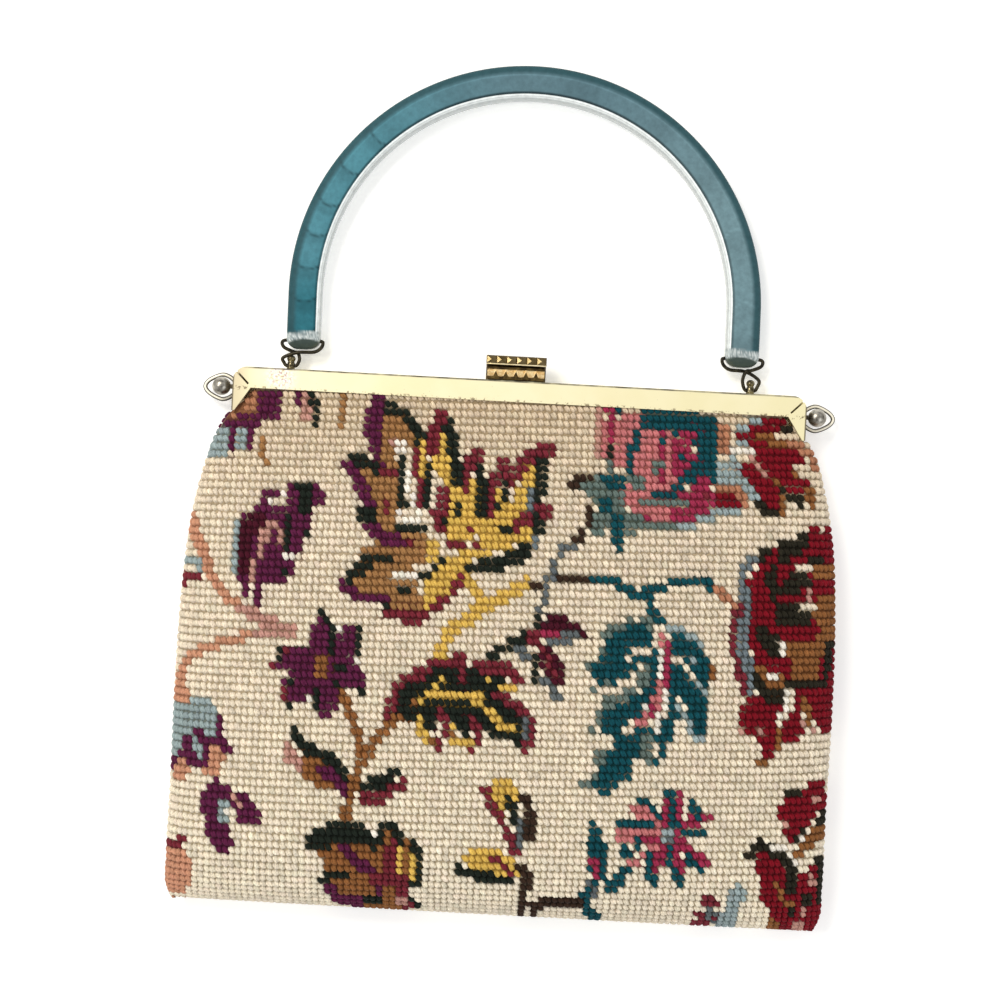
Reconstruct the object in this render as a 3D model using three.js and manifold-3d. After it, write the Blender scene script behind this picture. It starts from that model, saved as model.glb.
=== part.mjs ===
// A needlepoint handbag on a kiss lock frame, lying on its back.
// X runs along the frame, Y from the bottom of the bag towards the handle, Z up out of the bag's front.
// Lengths are millimetres. Until the last lines, Y is 0 at the frame's top edge and Z is 0 at the surface
// that the bag lies on. A drop is a distance down the bag from the frame's top edge.

import * as THREE from 'three';
import { mergeVertices } from 'three/addons/utils/BufferGeometryUtils.js';
import Module from 'manifold-3d';

const wasm = await Module();
wasm.setup();

// General clearances
const GAP = 0.3;
const SEAM_GAP = 0.3;

// Cloth pouch
const WALL = 2.5;
const SEAM_WIDTH = 3.4;
const MOUTH_DROP = 2.8;
const BAG_DROP = 224;
const FRONT_TURN = 30;
const BACK_TURN = 13;
const CLOTH_COLUMNS = 22;
const BODY_ROWS = 11;
const TURN_ROWS = 5;

// Frame of two folded metal halves
const FRAME_LENGTH = 240;
const FRAME_DEPTH = 16.2;
const HALF_DEPTH = 7.95;
const SHEET = 1.0;
const WEB = 1.2;
const PLATE_HEIGHT = 8.8;
const CORNER_RADIUS = 6;
const ARM_WIDTH = 7.6;
const ARM_DROP = 18.5;
const ARM_TIP = 1.2;
const WEB_DROP = 13.4;
const LIP_LENGTH = 190;
const LIP_DROP = 6.2;
const LIP_INSET = 4.2;
const MITRE_CUT = { length: 7.5, width: 0.8, x: 3.9, drop: 4.6 };

// Hinge ears, ball-headed pins and almond rings at the frame's ends
const HINGE_DROP = 8.4;
const HINGE_HEIGHT = 11.2;
const EAR = { inner: 117, outer: 118.3, top: 5.2, bottom: 12.8, height: 14.5 };
const PIN_RADIUS = 1.0;
const PIN_HEAD = { radius: 2.2, inner: 115, outer: 116.6 };
const BALL_RADIUS = 3.35;
const BALL_X = 126;
const RING = { wire: 0.9, length: 12.6, half: 4.7, foot: 2.3, height: 4.6, inside: 117.4 };

// Handle posts, wires and the arch
const POST_X = 97.5;
const EYE_UP = 2.1;
const EYE_HEIGHT = 5.2;
const EYE_RADIUS = 1.2;
const SHANK_RADIUS = 1.1;
const FOOT = { radius: 2, thick: 0.9 };
const WIRE_RADIUS = 0.75;
const ARCH_RADIUS = 100;
const ARCH_UP = 34;
const ROD_WIDTH = 14.2;
const ROD_DEPTH = 10.4;
const ROD_SQUARE = 4;
const ROD_END_UP = 10.5;
const ROD_DOME = 3.6;
const HOLE_RADIUS = 1.3;
const HANDLE_TURN = THREE.MathUtils.degToRad(0.7);
const CROSSING_BELOW = 5.7;

// Kiss lock bars
const CLASP_X = -2.1;
const CLASP_LENGTH = 25.2;
const CLASP_FRONT_LENGTH = 24;
const PYRAMIDS = 6;

// Sections of the pouch. half: half width, front and back: heights of the two walls,
// seam: height of the side seams, square: 2 is a round section and more is boxier, flat: share of the back that is flat
const SECTIONS = [
  { drop: 2.8, half: 110.0, front: 14.9, back: 1.3, seam: 8.1, square: 12, flat: 0.96 },
  { drop: 9.6, half: 111.6, front: 14.9, back: 1.3, seam: 8.1, square: 10, flat: 0.96 },
  { drop: 13.6, half: 116.2, front: 15.9, back: 0.8, seam: 8.1, square: 8, flat: 0.95 },
  { drop: 18.5, half: 121.4, front: 17.4, back: 0.2, seam: 8.2, square: 5.6, flat: 0.94 },
  { drop: 25, half: 125.4, front: 19.8, back: 0, seam: 8.5, square: 4.4, flat: 0.92 },
  { drop: 38, half: 129.6, front: 24.2, back: 0, seam: 9, square: 3.6, flat: 0.9 },
  { drop: 60, half: 134.2, front: 29.8, back: 0, seam: 9.5, square: 3.1, flat: 0.88 },
  { drop: 90, half: 136.8, front: 34.2, back: 0, seam: 10, square: 2.8, flat: 0.87 },
  { drop: 130, half: 137.7, front: 36.6, back: 0, seam: 10, square: 2.7, flat: 0.87 },
  { drop: 175, half: 137.4, front: 35.4, back: 0, seam: 9.5, square: 2.8, flat: 0.87 },
  { drop: 206, half: 137.6, front: 32.2, back: 0, seam: 9, square: 3, flat: 0.88 },
  { drop: 219, half: 137.2, front: 30.6, back: 0, seam: 8.6, square: 3.1, flat: 0.89 },
  { drop: 224, half: 135.2, front: 30, back: 0, seam: 8.5, square: 3.2, flat: 0.89 },
];

// Materials, one for each mesh
const FINISHES = {
  cloth: { color: 0xd8cbae, roughness: 0.95, metalness: 0 },
  gold: { color: 0xe9dcae, roughness: 0.32, metalness: 0.9 },
  clasp: { color: 0xb5924a, roughness: 0.3, metalness: 0.95 },
  bronze: { color: 0x4a4436, roughness: 0.45, metalness: 0.8 },
  pewter: { color: 0x8c8a86, roughness: 0.35, metalness: 0.9 },
  lucite: { color: 0x3e7480, roughness: 0.15, metalness: 0 },
};

const bag = new THREE.Group();
const SIDES = { left: -1, right: 1 };

function addPiece(name, geometry, finish) {
  const mesh = new THREE.Mesh(geometry, new THREE.MeshStandardMaterial(FINISHES[finish]));
  mesh.name = name;
  bag.add(mesh);
  return mesh;
}

// Joining and cutting

function solidFrom(geometry) {
  const bare = geometry.clone();
  bare.deleteAttribute('normal');
  bare.deleteAttribute('uv');
  const merged = mergeVertices(bare, 1e-4);
  const vertProperties = new Float32Array(merged.attributes.position.array);
  const triVerts = new Uint32Array(merged.index.array);
  return new wasm.Manifold(new wasm.Mesh({ numProp: 3, vertProperties, triVerts }));
}

function geometryFrom(solid) {
  const mesh = solid.getMesh();
  const geometry = new THREE.BufferGeometry();
  geometry.setAttribute('position', new THREE.BufferAttribute(new Float32Array(mesh.vertProperties), 3));
  geometry.setIndex(new THREE.BufferAttribute(new Uint32Array(mesh.triVerts), 1));
  geometry.computeVertexNormals();
  return geometry;
}

function join(...geometries) {
  const solids = geometries.map(solidFrom);
  return geometryFrom(solids.reduce((sum, next) => sum.add(next)));
}

function cut(geometry, ...tools) {
  return geometryFrom(tools.map(solidFrom).reduce((rest, tool) => rest.subtract(tool), solidFrom(geometry)));
}

// Basic shapes

function block(x0, x1, y0, y1, z0, z1) {
  const box = new THREE.BoxGeometry(x1 - x0, y1 - y0, z1 - z0);
  return box.translate((x0 + x1) / 2, (y0 + y1) / 2, (z0 + z1) / 2);
}

// A block between two distances from the middle, on the side given by its sign
function sideBlock(side, near, far, y0, y1, z0, z1) {
  return side > 0 ? block(near, far, y0, y1, z0, z1) : block(-far, -near, y0, y1, z0, z1);
}

function slab(shape, z0, z1, curveSegments = 6) {
  const slice = new THREE.ExtrudeGeometry(shape, { depth: z1 - z0, bevelEnabled: false, curveSegments });
  return slice.translate(0, 0, z0);
}

function rodAlongX(radius, x0, x1, y, z, sides = 12) {
  const rod = new THREE.CylinderGeometry(radius, radius, x1 - x0, sides);
  return rod.rotateZ(-Math.PI / 2).translate((x0 + x1) / 2, y, z);
}

function rodAlongY(radius, y0, y1, sides = 12) {
  return new THREE.CylinderGeometry(radius, radius, y1 - y0, sides).translate(0, (y0 + y1) / 2, 0);
}

function outline(points) {
  return new THREE.Shape(points.map(([x, y]) => new THREE.Vector2(x, y)));
}

function closedTube(points, radius, steps, sides) {
  const path = new THREE.CatmullRomCurve3(points, true, 'centripetal');
  return new THREE.TubeGeometry(path, steps, radius, sides, true);
}

function openTube(points, radius, steps, sides) {
  const path = new THREE.CatmullRomCurve3(points, false, 'centripetal');
  const section = new THREE.Shape().absarc(0, 0, radius, 0, 2 * Math.PI);
  return new THREE.ExtrudeGeometry(section, { extrudePath: path, steps, curveSegments: sides });
}

// A closed surface through rings of points, each ring running round the same way, with flat ends
function loft(rings) {
  const count = rings[0].length;
  const positions = rings.flat().flatMap((p) => [p.x, p.y, p.z]);
  const index = [];
  for (let r = 0; r + 1 < rings.length; r += 1) {
    for (let k = 0; k < count; k += 1) {
      const a = r * count + k;
      const b = r * count + ((k + 1) % count);
      index.push(a, b, a + count, b, b + count, a + count);
    }
  }
  const last = (rings.length - 1) * count;
  for (let k = 1; k + 1 < count; k += 1) {
    index.push(0, k + 1, k);
    index.push(last, last + k, last + k + 1);
  }
  const geometry = new THREE.BufferGeometry();
  geometry.setAttribute('position', new THREE.Float32BufferAttribute(positions, 3));
  geometry.setIndex(index);
  geometry.computeVertexNormals();
  return geometry;
}

// Pouch

const sectionDrops = SECTIONS.map((row) => row.drop);
const sectionCurves = {};
for (const column of ['half', 'front', 'back', 'seam', 'square', 'flat']) {
  const values = SECTIONS.map((row) => row[column]);
  sectionCurves[column] = new THREE.CubicInterpolant(sectionDrops, values, 1, new Float32Array(1));
}

function sectionValue(column, drop) {
  return sectionCurves[column].evaluate(drop)[0];
}

// How far a wall still stands off the fold as it turns in at the bottom, from 1 down to 0
function turnIn(drop, end, length) {
  const along = Math.max(0, (drop - (end - length)) / length);
  return Math.sqrt(Math.max(0, 1 - along * along));
}

function frontHeight(across, drop, end, inset) {
  const seam = sectionValue('seam', drop) + SEAM_GAP / 2;
  const square = sectionValue('square', drop);
  const rise = sectionValue('front', drop) - inset - seam;
  const dome = Math.pow(1 - Math.pow(Math.abs(across), square), 1 / square);
  return seam + rise * dome * turnIn(drop, end, FRONT_TURN);
}

function backHeight(across, drop, end, inset) {
  const seam = sectionValue('seam', drop) - SEAM_GAP / 2;
  const flat = sectionValue('flat', drop);
  const level = sectionValue('back', drop) + inset;
  const along = Math.max(0, (Math.abs(across) - flat) / (1 - flat));
  const dish = Math.sqrt(Math.max(0, 1 - along * along));
  return seam - (seam - level) * dish * turnIn(drop, end, BACK_TURN);
}

function clothDrops() {
  const drops = [MOUTH_DROP, 5.5, 9.6, 11.6, 13.6, 16, 18.5, 21.5, 25];
  const bodyStart = drops[drops.length - 1];
  const turnStart = BAG_DROP - FRONT_TURN;
  for (let i = 1; i <= BODY_ROWS; i += 1) {
    drops.push(THREE.MathUtils.lerp(bodyStart, turnStart, i / BODY_ROWS));
  }
  for (let i = 1; i <= TURN_ROWS; i += 1) {
    drops.push(turnStart + FRONT_TURN * Math.sin((Math.PI / 2) * (i / TURN_ROWS)));
  }
  return drops;
}

// One cloth wall: an outer and an inner surface, joined round the mouth, the side seams and the bottom fold
function clothWall(height, facesUp) {
  const drops = clothDrops();
  const columns = CLOTH_COLUMNS + 1;
  const layers = [
    { inset: 0, side: 0, end: BAG_DROP },
    { inset: WALL, side: SEAM_WIDTH, end: BAG_DROP - SEAM_WIDTH },
  ];
  const positions = [];
  for (const layer of layers) {
    for (const outerDrop of drops) {
      const share = (outerDrop - MOUTH_DROP) / (BAG_DROP - MOUTH_DROP);
      const drop = MOUTH_DROP + share * (layer.end - MOUTH_DROP);
      const half = sectionValue('half', drop) - layer.side;
      for (let k = 0; k < columns; k += 1) {
        const across = Math.sin((Math.PI / 2) * ((2 * k) / CLOTH_COLUMNS - 1));
        positions.push(across * half, -drop, height(across, drop, layer.end, layer.inset));
      }
    }
  }
  const rows = drops.length;
  const vertex = (layer, row, k) => (layer * rows + row) * columns + k;
  const index = [];
  const quad = (a, b, c, d) => index.push(a, b, c, a, c, d);
  for (let row = 0; row + 1 < rows; row += 1) {
    for (let k = 0; k < CLOTH_COLUMNS; k += 1) {
      quad(vertex(0, row, k), vertex(0, row + 1, k), vertex(0, row + 1, k + 1), vertex(0, row, k + 1));
      quad(vertex(1, row, k), vertex(1, row, k + 1), vertex(1, row + 1, k + 1), vertex(1, row + 1, k));
    }
    const end = CLOTH_COLUMNS;
    quad(vertex(0, row, 0), vertex(1, row, 0), vertex(1, row + 1, 0), vertex(0, row + 1, 0));
    quad(vertex(0, row, end), vertex(0, row + 1, end), vertex(1, row + 1, end), vertex(1, row, end));
  }
  for (let k = 0; k < CLOTH_COLUMNS; k += 1) {
    const fold = rows - 1;
    quad(vertex(0, 0, k), vertex(0, 0, k + 1), vertex(1, 0, k + 1), vertex(1, 0, k));
    quad(vertex(0, fold, k), vertex(1, fold, k), vertex(1, fold, k + 1), vertex(0, fold, k + 1));
  }
  if (!facesUp) {
    index.reverse();
  }
  const geometry = new THREE.BufferGeometry();
  geometry.setAttribute('position', new THREE.Float32BufferAttribute(positions, 3));
  geometry.setIndex(index);
  geometry.computeVertexNormals();
  return geometry;
}

addPiece('front_panel', clothWall(frontHeight, true), 'cloth');
addPiece('back_panel', clothWall(backHeight, false), 'cloth');

// Frame

const FRAME_END = FRAME_LENGTH / 2;

// The frame's outer edge from the left arm's foot over the two rounded corners, inset by a distance
function frameEdge(inset, foot) {
  const end = FRAME_END - inset;
  const radius = CORNER_RADIUS - inset;
  const edge = new THREE.Shape();
  edge.moveTo(-end, -foot);
  edge.lineTo(-end, -CORNER_RADIUS);
  edge.absarc(-FRAME_END + CORNER_RADIUS, -CORNER_RADIUS, radius, Math.PI, Math.PI / 2, true);
  edge.lineTo(FRAME_END - CORNER_RADIUS, -inset);
  edge.absarc(FRAME_END - CORNER_RADIUS, -CORNER_RADIUS, radius, Math.PI / 2, 0, true);
  edge.lineTo(end, -foot);
  return edge;
}

function plateShape() {
  const shape = frameEdge(0, ARM_DROP);
  const innerEnd = FRAME_END - ARM_WIDTH;
  shape.lineTo(FRAME_END - ARM_TIP, -ARM_DROP);
  shape.lineTo(innerEnd, -PLATE_HEIGHT);
  shape.lineTo(-innerEnd, -PLATE_HEIGHT);
  shape.lineTo(-FRAME_END + ARM_TIP, -ARM_DROP);
  return shape;
}

function webShape() {
  const outer = frameEdge(0, WEB_DROP).getPoints(6);
  const inner = frameEdge(WEB, WEB_DROP).getPoints(6).reverse();
  return new THREE.Shape([...outer, ...inner]);
}

function mitreTool(side) {
  const tool = new THREE.BoxGeometry(MITRE_CUT.length, MITRE_CUT.width, 4 * SHEET);
  tool.rotateZ(side * (Math.PI / 4));
  return tool;
}

// One half: a face plate, a web across the top and down the arms, and a lip that grips the cloth
function frameHalf({ plate, web, lip }) {
  const lipBar = block(-LIP_LENGTH / 2, LIP_LENGTH / 2, -LIP_DROP, -WEB / 2, ...lip);
  const half = join(slab(plateShape(), ...plate), slab(webShape(), ...web), lipBar);
  const middle = (plate[0] + plate[1]) / 2;
  const cuts = Object.values(SIDES).map((side) => {
    const x = side * (FRAME_END - MITRE_CUT.x);
    return mitreTool(side).translate(x, -MITRE_CUT.drop, middle);
  });
  return cut(half, ...cuts);
}

function frontHalf() {
  const top = FRAME_DEPTH;
  const lip = [top - LIP_INSET - SHEET, top - LIP_INSET];
  const half = frameHalf({ plate: [top - SHEET, top], web: [top - HALF_DEPTH, top], lip });
  const bore = rodAlongX(PIN_RADIUS + GAP, -FRAME_END - 1, FRAME_END + 1, -HINGE_DROP, HINGE_HEIGHT);
  return cut(half, bore);
}

function hingeEar(side) {
  const root = sideBlock(side, EAR.inner, FRAME_END - WEB / 2, -EAR.bottom, -EAR.top, SHEET / 2, HALF_DEPTH - GAP);
  const tongue = sideBlock(side, EAR.inner, EAR.outer, -EAR.bottom, -EAR.top, HALF_DEPTH / 2, EAR.height);
  return [root, tongue];
}

function backHalf() {
  const lip = [LIP_INSET, LIP_INSET + SHEET];
  const half = frameHalf({ plate: [0, SHEET], web: [0, HALF_DEPTH], lip });
  const ears = Object.values(SIDES).flatMap(hingeEar);
  const tools = [rodAlongX(PIN_RADIUS + GAP, -FRAME_END - 1, FRAME_END + 1, -HINGE_DROP, HINGE_HEIGHT)];
  for (const side of Object.values(SIDES)) {
    for (const foot of [-RING.foot, RING.foot]) {
      const near = side * (RING.inside - 1);
      const far = side * (FRAME_END + 1);
      const x0 = Math.min(near, far);
      const x1 = Math.max(near, far);
      tools.push(rodAlongX(RING.wire + GAP, x0, x1, -HINGE_DROP + foot, RING.height));
    }
    tools.push(rodAlongY(SHANK_RADIUS + GAP, -2 * WEB, WEB).translate(side * POST_X, 0, EYE_HEIGHT));
    tools.push(rodAlongY(FOOT.radius + GAP, -LIP_DROP, -WEB).translate(side * POST_X, 0, EYE_HEIGHT));
  }
  return cut(join(half, ...ears), ...tools);
}

addPiece('frame_front', frontHalf(), 'gold');
addPiece('frame_back', backHalf(), 'gold');

// Hinge pins: a flat head inside the frame, a shank through both halves and a ball outside

function hingePin(side) {
  const profile = [
    [0, PIN_HEAD.inner],
    [PIN_HEAD.radius, PIN_HEAD.inner],
    [PIN_HEAD.radius, PIN_HEAD.outer],
    [PIN_RADIUS, PIN_HEAD.outer],
  ].map(([r, x]) => new THREE.Vector2(r, x));
  const ballSteps = 8;
  const start = Math.asin(PIN_RADIUS / BALL_RADIUS);
  for (let i = 0; i <= ballSteps; i += 1) {
    const angle = THREE.MathUtils.lerp(start, Math.PI, i / ballSteps);
    const r = i === ballSteps ? 0 : BALL_RADIUS * Math.sin(angle);
    profile.push(new THREE.Vector2(r, BALL_X - BALL_RADIUS * Math.cos(angle)));
  }
  const pin = new THREE.LatheGeometry(profile, 12);
  return pin.rotateZ(-side * (Math.PI / 2)).translate(0, -HINGE_DROP, HINGE_HEIGHT);
}

// Rings: an almond of wire whose two feet go through the back half's end
function endRing(side) {
  const far = FRAME_END + RING.length;
  const arm = (sign) => [
    [RING.inside, sign * RING.foot],
    [FRAME_END - 0.4, sign * RING.foot],
    [FRAME_END + 0.6, sign * (RING.foot + 0.1)],
    [FRAME_END + 3.6, sign * (RING.half - 0.7)],
    [FRAME_END + 6.2, sign * RING.half],
    [far - 2.4, sign * (RING.half - 2.2)],
  ];
  const tip = [far - RING.wire, 0];
  const route = [...arm(1), tip, ...arm(-1).reverse()];
  const points = route.map(([x, y]) => new THREE.Vector3(side * x, y - HINGE_DROP, RING.height));
  return openTube(points, RING.wire, 28, 4);
}

for (const [name, side] of Object.entries(SIDES)) {
  addPiece(`hinge_pin_${name}`, hingePin(side), 'pewter');
  addPiece(`end_ring_${name}`, endRing(side), 'gold');
}

// Handle posts: a rivet foot under the web, a shank, an eye across and a bulb head

function handlePost(side) {
  const profile = [
    [0, -WEB - GAP - FOOT.thick],
    [FOOT.radius, -WEB - GAP - FOOT.thick],
    [FOOT.radius, -WEB - GAP],
    [SHANK_RADIUS, -WEB - GAP],
    [SHANK_RADIUS, GAP],
    [2.1, GAP],
    [2.25, 1.2],
    [2.3, EYE_UP],
    [2.0, 3.1],
    [1.55, 3.6],
    [1.5, 4.4],
    [1.15, 5.2],
    [0.6, 5.7],
    [0, 5.8],
  ].map(([r, y]) => new THREE.Vector2(r, y));
  const stud = new THREE.LatheGeometry(profile, 12).translate(side * POST_X, 0, EYE_HEIGHT);
  const eye = rodAlongX(EYE_RADIUS, side * POST_X - 4, side * POST_X + 4, EYE_UP, EYE_HEIGHT);
  return cut(stud, eye);
}

// Handle arch, in its own plane about the arch's centre, then turned a little in that plane

const ROD_MIDDLE = ARCH_RADIUS - ROD_WIDTH / 2;
const LEG = ARCH_UP - ROD_END_UP;
const HOLE_DROP = LEG - ROD_DOME;
const archCentre = new THREE.Vector3(0, ARCH_UP, EYE_HEIGHT);

// A place in the handle's own plane, right of and above the arch's centre, as a point of the bag
function onHandle(x, y, z = 0) {
  return new THREE.Vector3(x, y, z).applyAxisAngle(new THREE.Vector3(0, 0, 1), HANDLE_TURN).add(archCentre);
}

// Centre line stations from the left foot to the right foot: place, direction, and shares of the rod's
// width and depth. The ends are thinner in depth, so that they clear the wires as the handle turns.
function rodStations() {
  const stations = [];
  const endRows = [
    { up: 0, wide: 0.34, deep: 0.28 },
    { up: 0.35, wide: 0.66, deep: 0.38 },
    { up: 1.2, wide: 0.88, deep: 0.62 },
    { up: 2.3, wide: 0.97, deep: 0.77 },
    { up: ROD_DOME + 0.6, wide: 1, deep: 0.83 },
    { up: 8.5, wide: 1, deep: 0.94 },
    { up: 13, wide: 1, deep: 1 },
  ];
  for (const row of endRows) {
    stations.push({ ...row, x: -ROD_MIDDLE, y: -LEG + row.up, angle: Math.PI });
  }
  const arcSteps = 32;
  for (let i = 0; i <= arcSteps; i += 1) {
    const angle = Math.PI * (1 - i / arcSteps);
    stations.push({ x: ROD_MIDDLE * Math.cos(angle), y: ROD_MIDDLE * Math.sin(angle), angle, wide: 1, deep: 1 });
  }
  for (const row of endRows.slice().reverse()) {
    stations.push({ ...row, x: ROD_MIDDLE, y: -LEG + row.up, angle: 0 });
  }
  return stations;
}

function rodSection({ x, y, angle, wide, deep }) {
  const sides = 16;
  const ring = [];
  for (let k = 0; k < sides; k += 1) {
    const turn = (2 * Math.PI * k) / sides;
    const c = Math.cos(turn);
    const s = Math.sin(turn);
    const out = (ROD_WIDTH / 2) * wide * Math.sign(c) * Math.pow(Math.abs(c), 2 / ROD_SQUARE);
    const up = (ROD_DEPTH / 2) * deep * Math.sign(s) * Math.pow(Math.abs(s), 2 / ROD_SQUARE);
    ring.push(onHandle(x + out * Math.cos(angle), y + out * Math.sin(angle), up));
  }
  return ring;
}

function wireHole(side) {
  const hole = rodAlongX(HOLE_RADIUS, -ROD_WIDTH, ROD_WIDTH, 0, 0);
  const place = onHandle(side * ROD_MIDDLE, -HOLE_DROP);
  return hole.rotateZ(HANDLE_TURN).translate(place.x, place.y, place.z);
}

function handleArch() {
  return cut(loft(rodStations().map(rodSection)), ...Object.values(SIDES).map(wireHole));
}

// Wires: through the rod's hole, out in an ear at each side, across each other under the rod's end,
// round the post's bulb and through its eye
function handleWire(side) {
  const hole = [side * ROD_MIDDLE, -HOLE_DROP];
  const atRod = (a, b, z = 0) => onHandle(hole[0] + a, hole[1] + b, z);
  const atPost = (a, b, z = 0) => new THREE.Vector3(side * POST_X + a, EYE_UP + b, EYE_HEIGHT + z);
  const under = atRod(0, -CROSSING_BELOW);
  const crossX = (under.x + side * POST_X) / 2;
  const crossing = (z) => new THREE.Vector3(crossX, under.y, EYE_HEIGHT + z);
  const loop = under.y - EYE_UP;
  const half = ROD_WIDTH / 2;
  const apart = WIRE_RADIUS + 0.2;
  const points = [
    atRod(-half, 0),
    atRod(0, 0),
    atRod(half, 0),
    atRod(half + 2.2, -1.1),
    atRod(half + 1.3, -3.5, 0.3),
    atRod(4.2, -5.3, 0.7),
    crossing(apart),
    atPost(-3.4, 0.62 * loop, 0.3),
    atPost(-3.5, 0.22 * loop),
    atPost(-2.4, 0),
    atPost(0, 0),
    atPost(2.4, 0),
    atPost(3.5, 0.22 * loop),
    atPost(3.4, 0.62 * loop, -0.3),
    crossing(-apart),
    atRod(-4.2, -5.3, -0.7),
    atRod(-half - 1.3, -3.5, -0.3),
    atRod(-half - 2.2, -1.1),
  ];
  return closedTube(points, WIRE_RADIUS, 52, 6);
}

for (const [name, side] of Object.entries(SIDES)) {
  addPiece(`handle_post_${name}`, handlePost(side), 'bronze');
  addPiece(`handle_wire_${name}`, handleWire(side), 'bronze');
}
addPiece('handle', handleArch(), 'lucite');

// Kiss lock: each bar is a profile in the Z and Y directions, drawn out along X

function barAlongX(profile, length) {
  const bar = new THREE.ExtrudeGeometry(outline(profile), { depth: length, bevelEnabled: false });
  return bar.rotateY(Math.PI / 2).translate(CLASP_X - length / 2, 0, 0);
}

// A profile is a list of [height, distance above the frame's top edge]
function clasp(profile, length) {
  return barAlongX(profile.map(([z, y]) => [-z, y]), length);
}

function claspFront() {
  const profile = [
    [9, GAP],
    [15.9, GAP],
    [15.9, 4.4],
    [15.2, 5.6],
    [13.4, 6.3],
    [12.4, 5.6],
    [13.6, 4.6],
    [14.4, 3.6],
    [14.4, 1.3],
    [9, 1.3],
  ];
  return clasp(profile, CLASP_FRONT_LENGTH);
}

function claspBack() {
  const profile = [
    [1.2, GAP],
    [7.4, GAP],
    [7.4, 6.8],
    [14.2, 6.8],
    [15, 7.4],
    [15, 9.2],
    [13.6, 10.4],
    [6.8, 10.4],
    [5.9, 9.6],
    [5.9, 1.3],
    [1.2, 1.3],
  ];
  const pitch = CLASP_LENGTH / PYRAMIDS;
  const studs = [];
  for (let i = 0; i < PYRAMIDS; i += 1) {
    const stud = new THREE.ConeGeometry(pitch / Math.SQRT2 - 0.2, 1.5, 4).rotateY(Math.PI / 4);
    const x = CLASP_X + (i - (PYRAMIDS - 1) / 2) * pitch;
    studs.push(stud.scale(1, 1, 0.5).rotateX(Math.PI / 2).translate(x, 8.3, 15.6));
  }
  return join(clasp(profile, CLASP_LENGTH), ...studs);
}

addPiece('clasp_front', claspFront(), 'clasp');
addPiece('clasp_back', claspBack(), 'clasp');

// The origin is under the middle of the whole object, on the surface it lies on
bag.updateMatrixWorld(true);
const middle = new THREE.Box3().setFromObject(bag, true).getCenter(new THREE.Vector3());
bag.position.set(-middle.x, -middle.y, 0);

export default bag;
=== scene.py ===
"""Looks of a needlepoint bag on a kiss lock frame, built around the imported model.

Names that end in MM, and the tables that say so, are in millimetres. All else is in metres, in the model's
own frame: X along the bag's frame, Y from the bag's bottom towards the handle, Z up out of the bag's front.
"""

import math

import bmesh
import bpy
import numpy as np
from mathutils import Matrix, Vector


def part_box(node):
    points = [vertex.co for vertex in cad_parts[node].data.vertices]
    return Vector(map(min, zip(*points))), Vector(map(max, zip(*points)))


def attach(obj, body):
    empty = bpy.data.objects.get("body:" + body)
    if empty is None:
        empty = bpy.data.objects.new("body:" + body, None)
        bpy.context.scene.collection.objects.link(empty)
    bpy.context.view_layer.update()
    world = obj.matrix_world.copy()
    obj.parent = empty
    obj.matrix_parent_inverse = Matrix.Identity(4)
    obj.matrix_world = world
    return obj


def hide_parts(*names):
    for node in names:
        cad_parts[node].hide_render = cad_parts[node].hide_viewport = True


MM = 0.001

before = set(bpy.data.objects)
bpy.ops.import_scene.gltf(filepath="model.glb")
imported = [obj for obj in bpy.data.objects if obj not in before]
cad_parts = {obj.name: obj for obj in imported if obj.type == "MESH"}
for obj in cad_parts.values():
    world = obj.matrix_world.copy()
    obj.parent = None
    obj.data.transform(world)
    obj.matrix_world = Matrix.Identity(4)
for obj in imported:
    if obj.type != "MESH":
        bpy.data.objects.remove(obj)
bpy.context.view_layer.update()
rng = np.random.default_rng(20)

FRAME_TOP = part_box("frame_front")[1].y

# View: straight down, with the bag turned a little clockwise in the picture
VIEW_TURN = math.radians(3.1)
VIEW_FIELD = 0.42
VIEW_LEVEL = 0.012
VIEW_HEIGHT = 0.68
VIEW_MIDDLE = (-0.0059, -0.005)
SENSOR_MM = 36.0

SIDE_NAMES = {-1: "left", 1: "right"}

# Wool colours as they look in daylight
WOOL = {
    "cream": "F1E4CC",
    "white": "F0E8DA",
    "plum": "5C1E40",
    "burgundy": "762833",
    "red": "7C0E1D",
    "pink": "C67676",
    "magenta": "9C2E4C",
    "rose": "C09082",
    "salmon": "CA9274",
    "rust": "B57C5E",
    "teal": "0E4A53",
    "green": "1D241D",
    "olive": "27241A",
    "ochre": "8E5C33",
    "clay": "B07A5A",
    "wine": "471222",
    "tan": "A07448",
    "yellow": "DBB457",
    "blue": "99A8A8",
    "slate": "707B80",
    "grey": "61686A",
    "sage": "66766F",
    "brown": "38271D",
}


def linear(code):
    """A colour code as linear red, green and blue."""
    values = np.array([int(code[i : i + 2], 16) for i in (0, 2, 4)]) / 255
    return np.where(values <= 0.04045, values / 12.92, ((values + 0.055) / 1.055) ** 2.4)


def rgba(code):
    return (*linear(code), 1.0)


# Chart of the wool work, counted in stitches right of the frame's middle and rows below its top edge


def patch(colour, *points):
    return ("patch", colour, 0, points)


def stroke(colour, width, *points):
    return ("stroke", colour, width, points)


def spots(colour, *points):
    return ("spots", colour, 0, points)


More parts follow.
